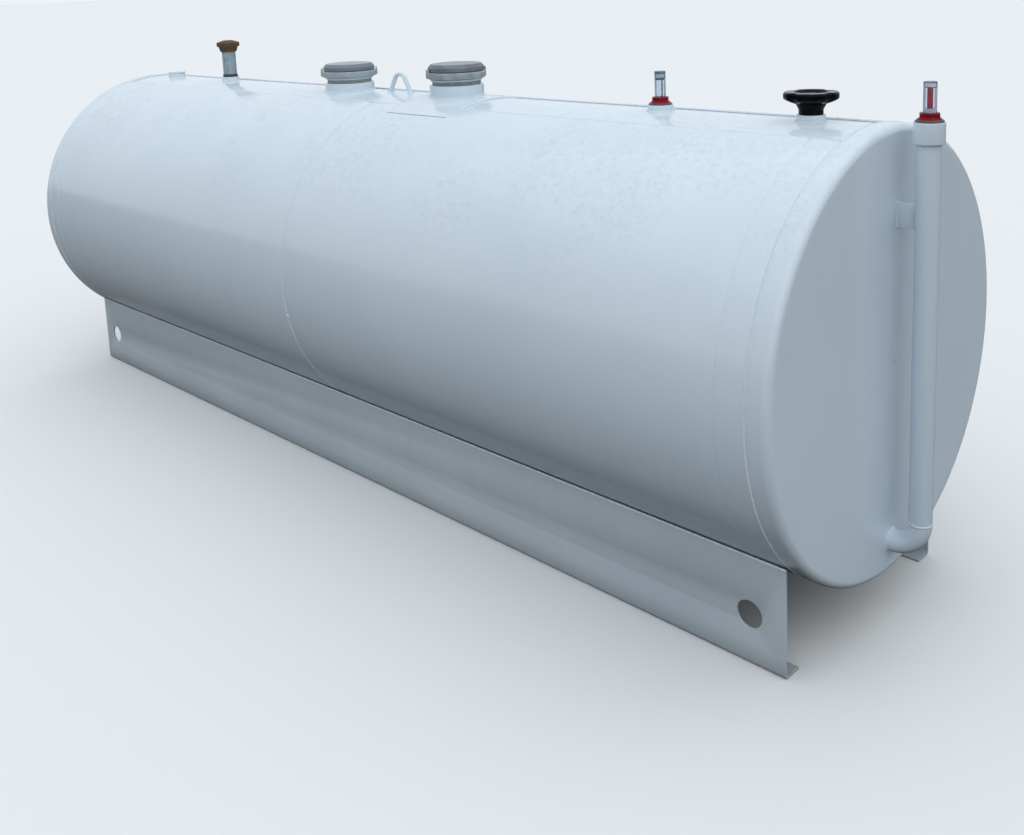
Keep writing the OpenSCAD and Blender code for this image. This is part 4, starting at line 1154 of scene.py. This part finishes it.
def makeBackdrop(tree, end, lights, shows, mirrored):
    # lights falls on the object, shows is what the camera sees, and mirrored is how much of shows a
    # reflection has
    g = Builder(tree)
    path = g.add("ShaderNodeLightPath").outputs
    direct = g.calc("MAXIMUM", path["Is Camera Ray"], path["Is Transmission Ray"])
    seen = g.calc("MAXIMUM", direct, g.times(path["Is Glossy Ray"], mirrored))
    mix = g.first("ShaderNodeMixShader", {0: seen, 1: g.first(*lights), 2: g.first(*shows)})
    g.link(mix, tree.nodes[end].inputs["Surface"])


def makeFloor():
    work = bmesh.new()
    bmesh.ops.create_grid(work, x_segments=2, y_segments=2, size=floorLook["size"])
    floor = bpy.data.objects.new("floor", asMesh("floor", work))
    scene.collection.objects.link(floor)
    paleFloor = bpy.data.materials.new("paleFloor")
    paleFloor.use_nodes = True
    tree = paleFloor.node_tree
    tree.nodes.remove(tree.nodes["Principled BSDF"])
    dark = ("ShaderNodeBsdfDiffuse", {"Color": (*[floorLook["bounce"]] * 3, 1)})
    pale = ("ShaderNodeBsdfDiffuse", {"Color": (*floorLook["shown"], 1)})
    makeBackdrop(tree, "Material Output", dark, pale, floorLook["mirrored"])
    floor.data.materials.append(paleFloor)


light = {"sky": 0.76, "tint": (0.98, 1.0, 1.02), "shown": (0.85, 0.90, 0.94),
         "softSun": {"energy": 0.92, "angle": 110.0, "ahead": (-0.14, 0.21, -0.97)},
         "softFill": {"energy": 0.3, "angle": 70.0, "ahead": (-0.74, 0.45, -0.5)}}


def makeLight():
    world = bpy.data.worlds.new("studio")
    scene.world = world
    world.use_nodes = True
    sky = ("ShaderNodeBackground", {"Color": (*light["tint"], 1), "Strength": light["sky"]})
    pale = ("ShaderNodeBackground", {"Color": (*light["shown"], 1), "Strength": 1.0})
    makeBackdrop(world.node_tree, "World Output", sky, pale, 1.0)
    for name in ("softSun", "softFill"):
        lamp = bpy.data.lights.new(name, "SUN")
        lamp.energy, lamp.color = light[name]["energy"], light["tint"]
        lamp.angle = radians(light[name]["angle"])
        holder = bpy.data.objects.new(name, lamp)
        holder.rotation_euler = Vector(light[name]["ahead"]).to_track_quat("-Z", "Y").to_euler()
        scene.collection.objects.link(holder)


view = {"place": (3.17119, -2.60338, 1.77214), "yaw": 135.4421, "pitch": -9.5625, "roll": -2.3496,
        "lens": 38.2768, "sensor": 36.0, "shift": -0.249023, "clip": (0.05, 2000.0)}


def makeCamera():
    yaw, pitch, roll = radians(view["yaw"]), radians(view["pitch"]), radians(view["roll"])
    ahead = Vector((cos(pitch) * cos(yaw), cos(pitch) * sin(yaw), sin(pitch)))
    right = ahead.cross(Vector((0, 0, 1))).normalized()
    up = right.cross(ahead)
    across = cos(roll) * right + sin(roll) * up
    over = -sin(roll) * right + cos(roll) * up
    data = bpy.data.cameras.new("photo")
    data.lens, data.sensor_width, data.shift_y = view["lens"], view["sensor"], view["shift"]
    data.clip_start, data.clip_end = view["clip"]
    camera = bpy.data.objects.new("photo", data)
    camera.matrix_world = Matrix((across, over, -ahead)).transposed().to_4x4()
    camera.location = view["place"]
    scene.collection.objects.link(camera)
    scene.camera = camera


makeFloor()
makeLight()
makeCamera()
scene.view_settings.view_transform = "Standard"
print("stage, light and camera set")
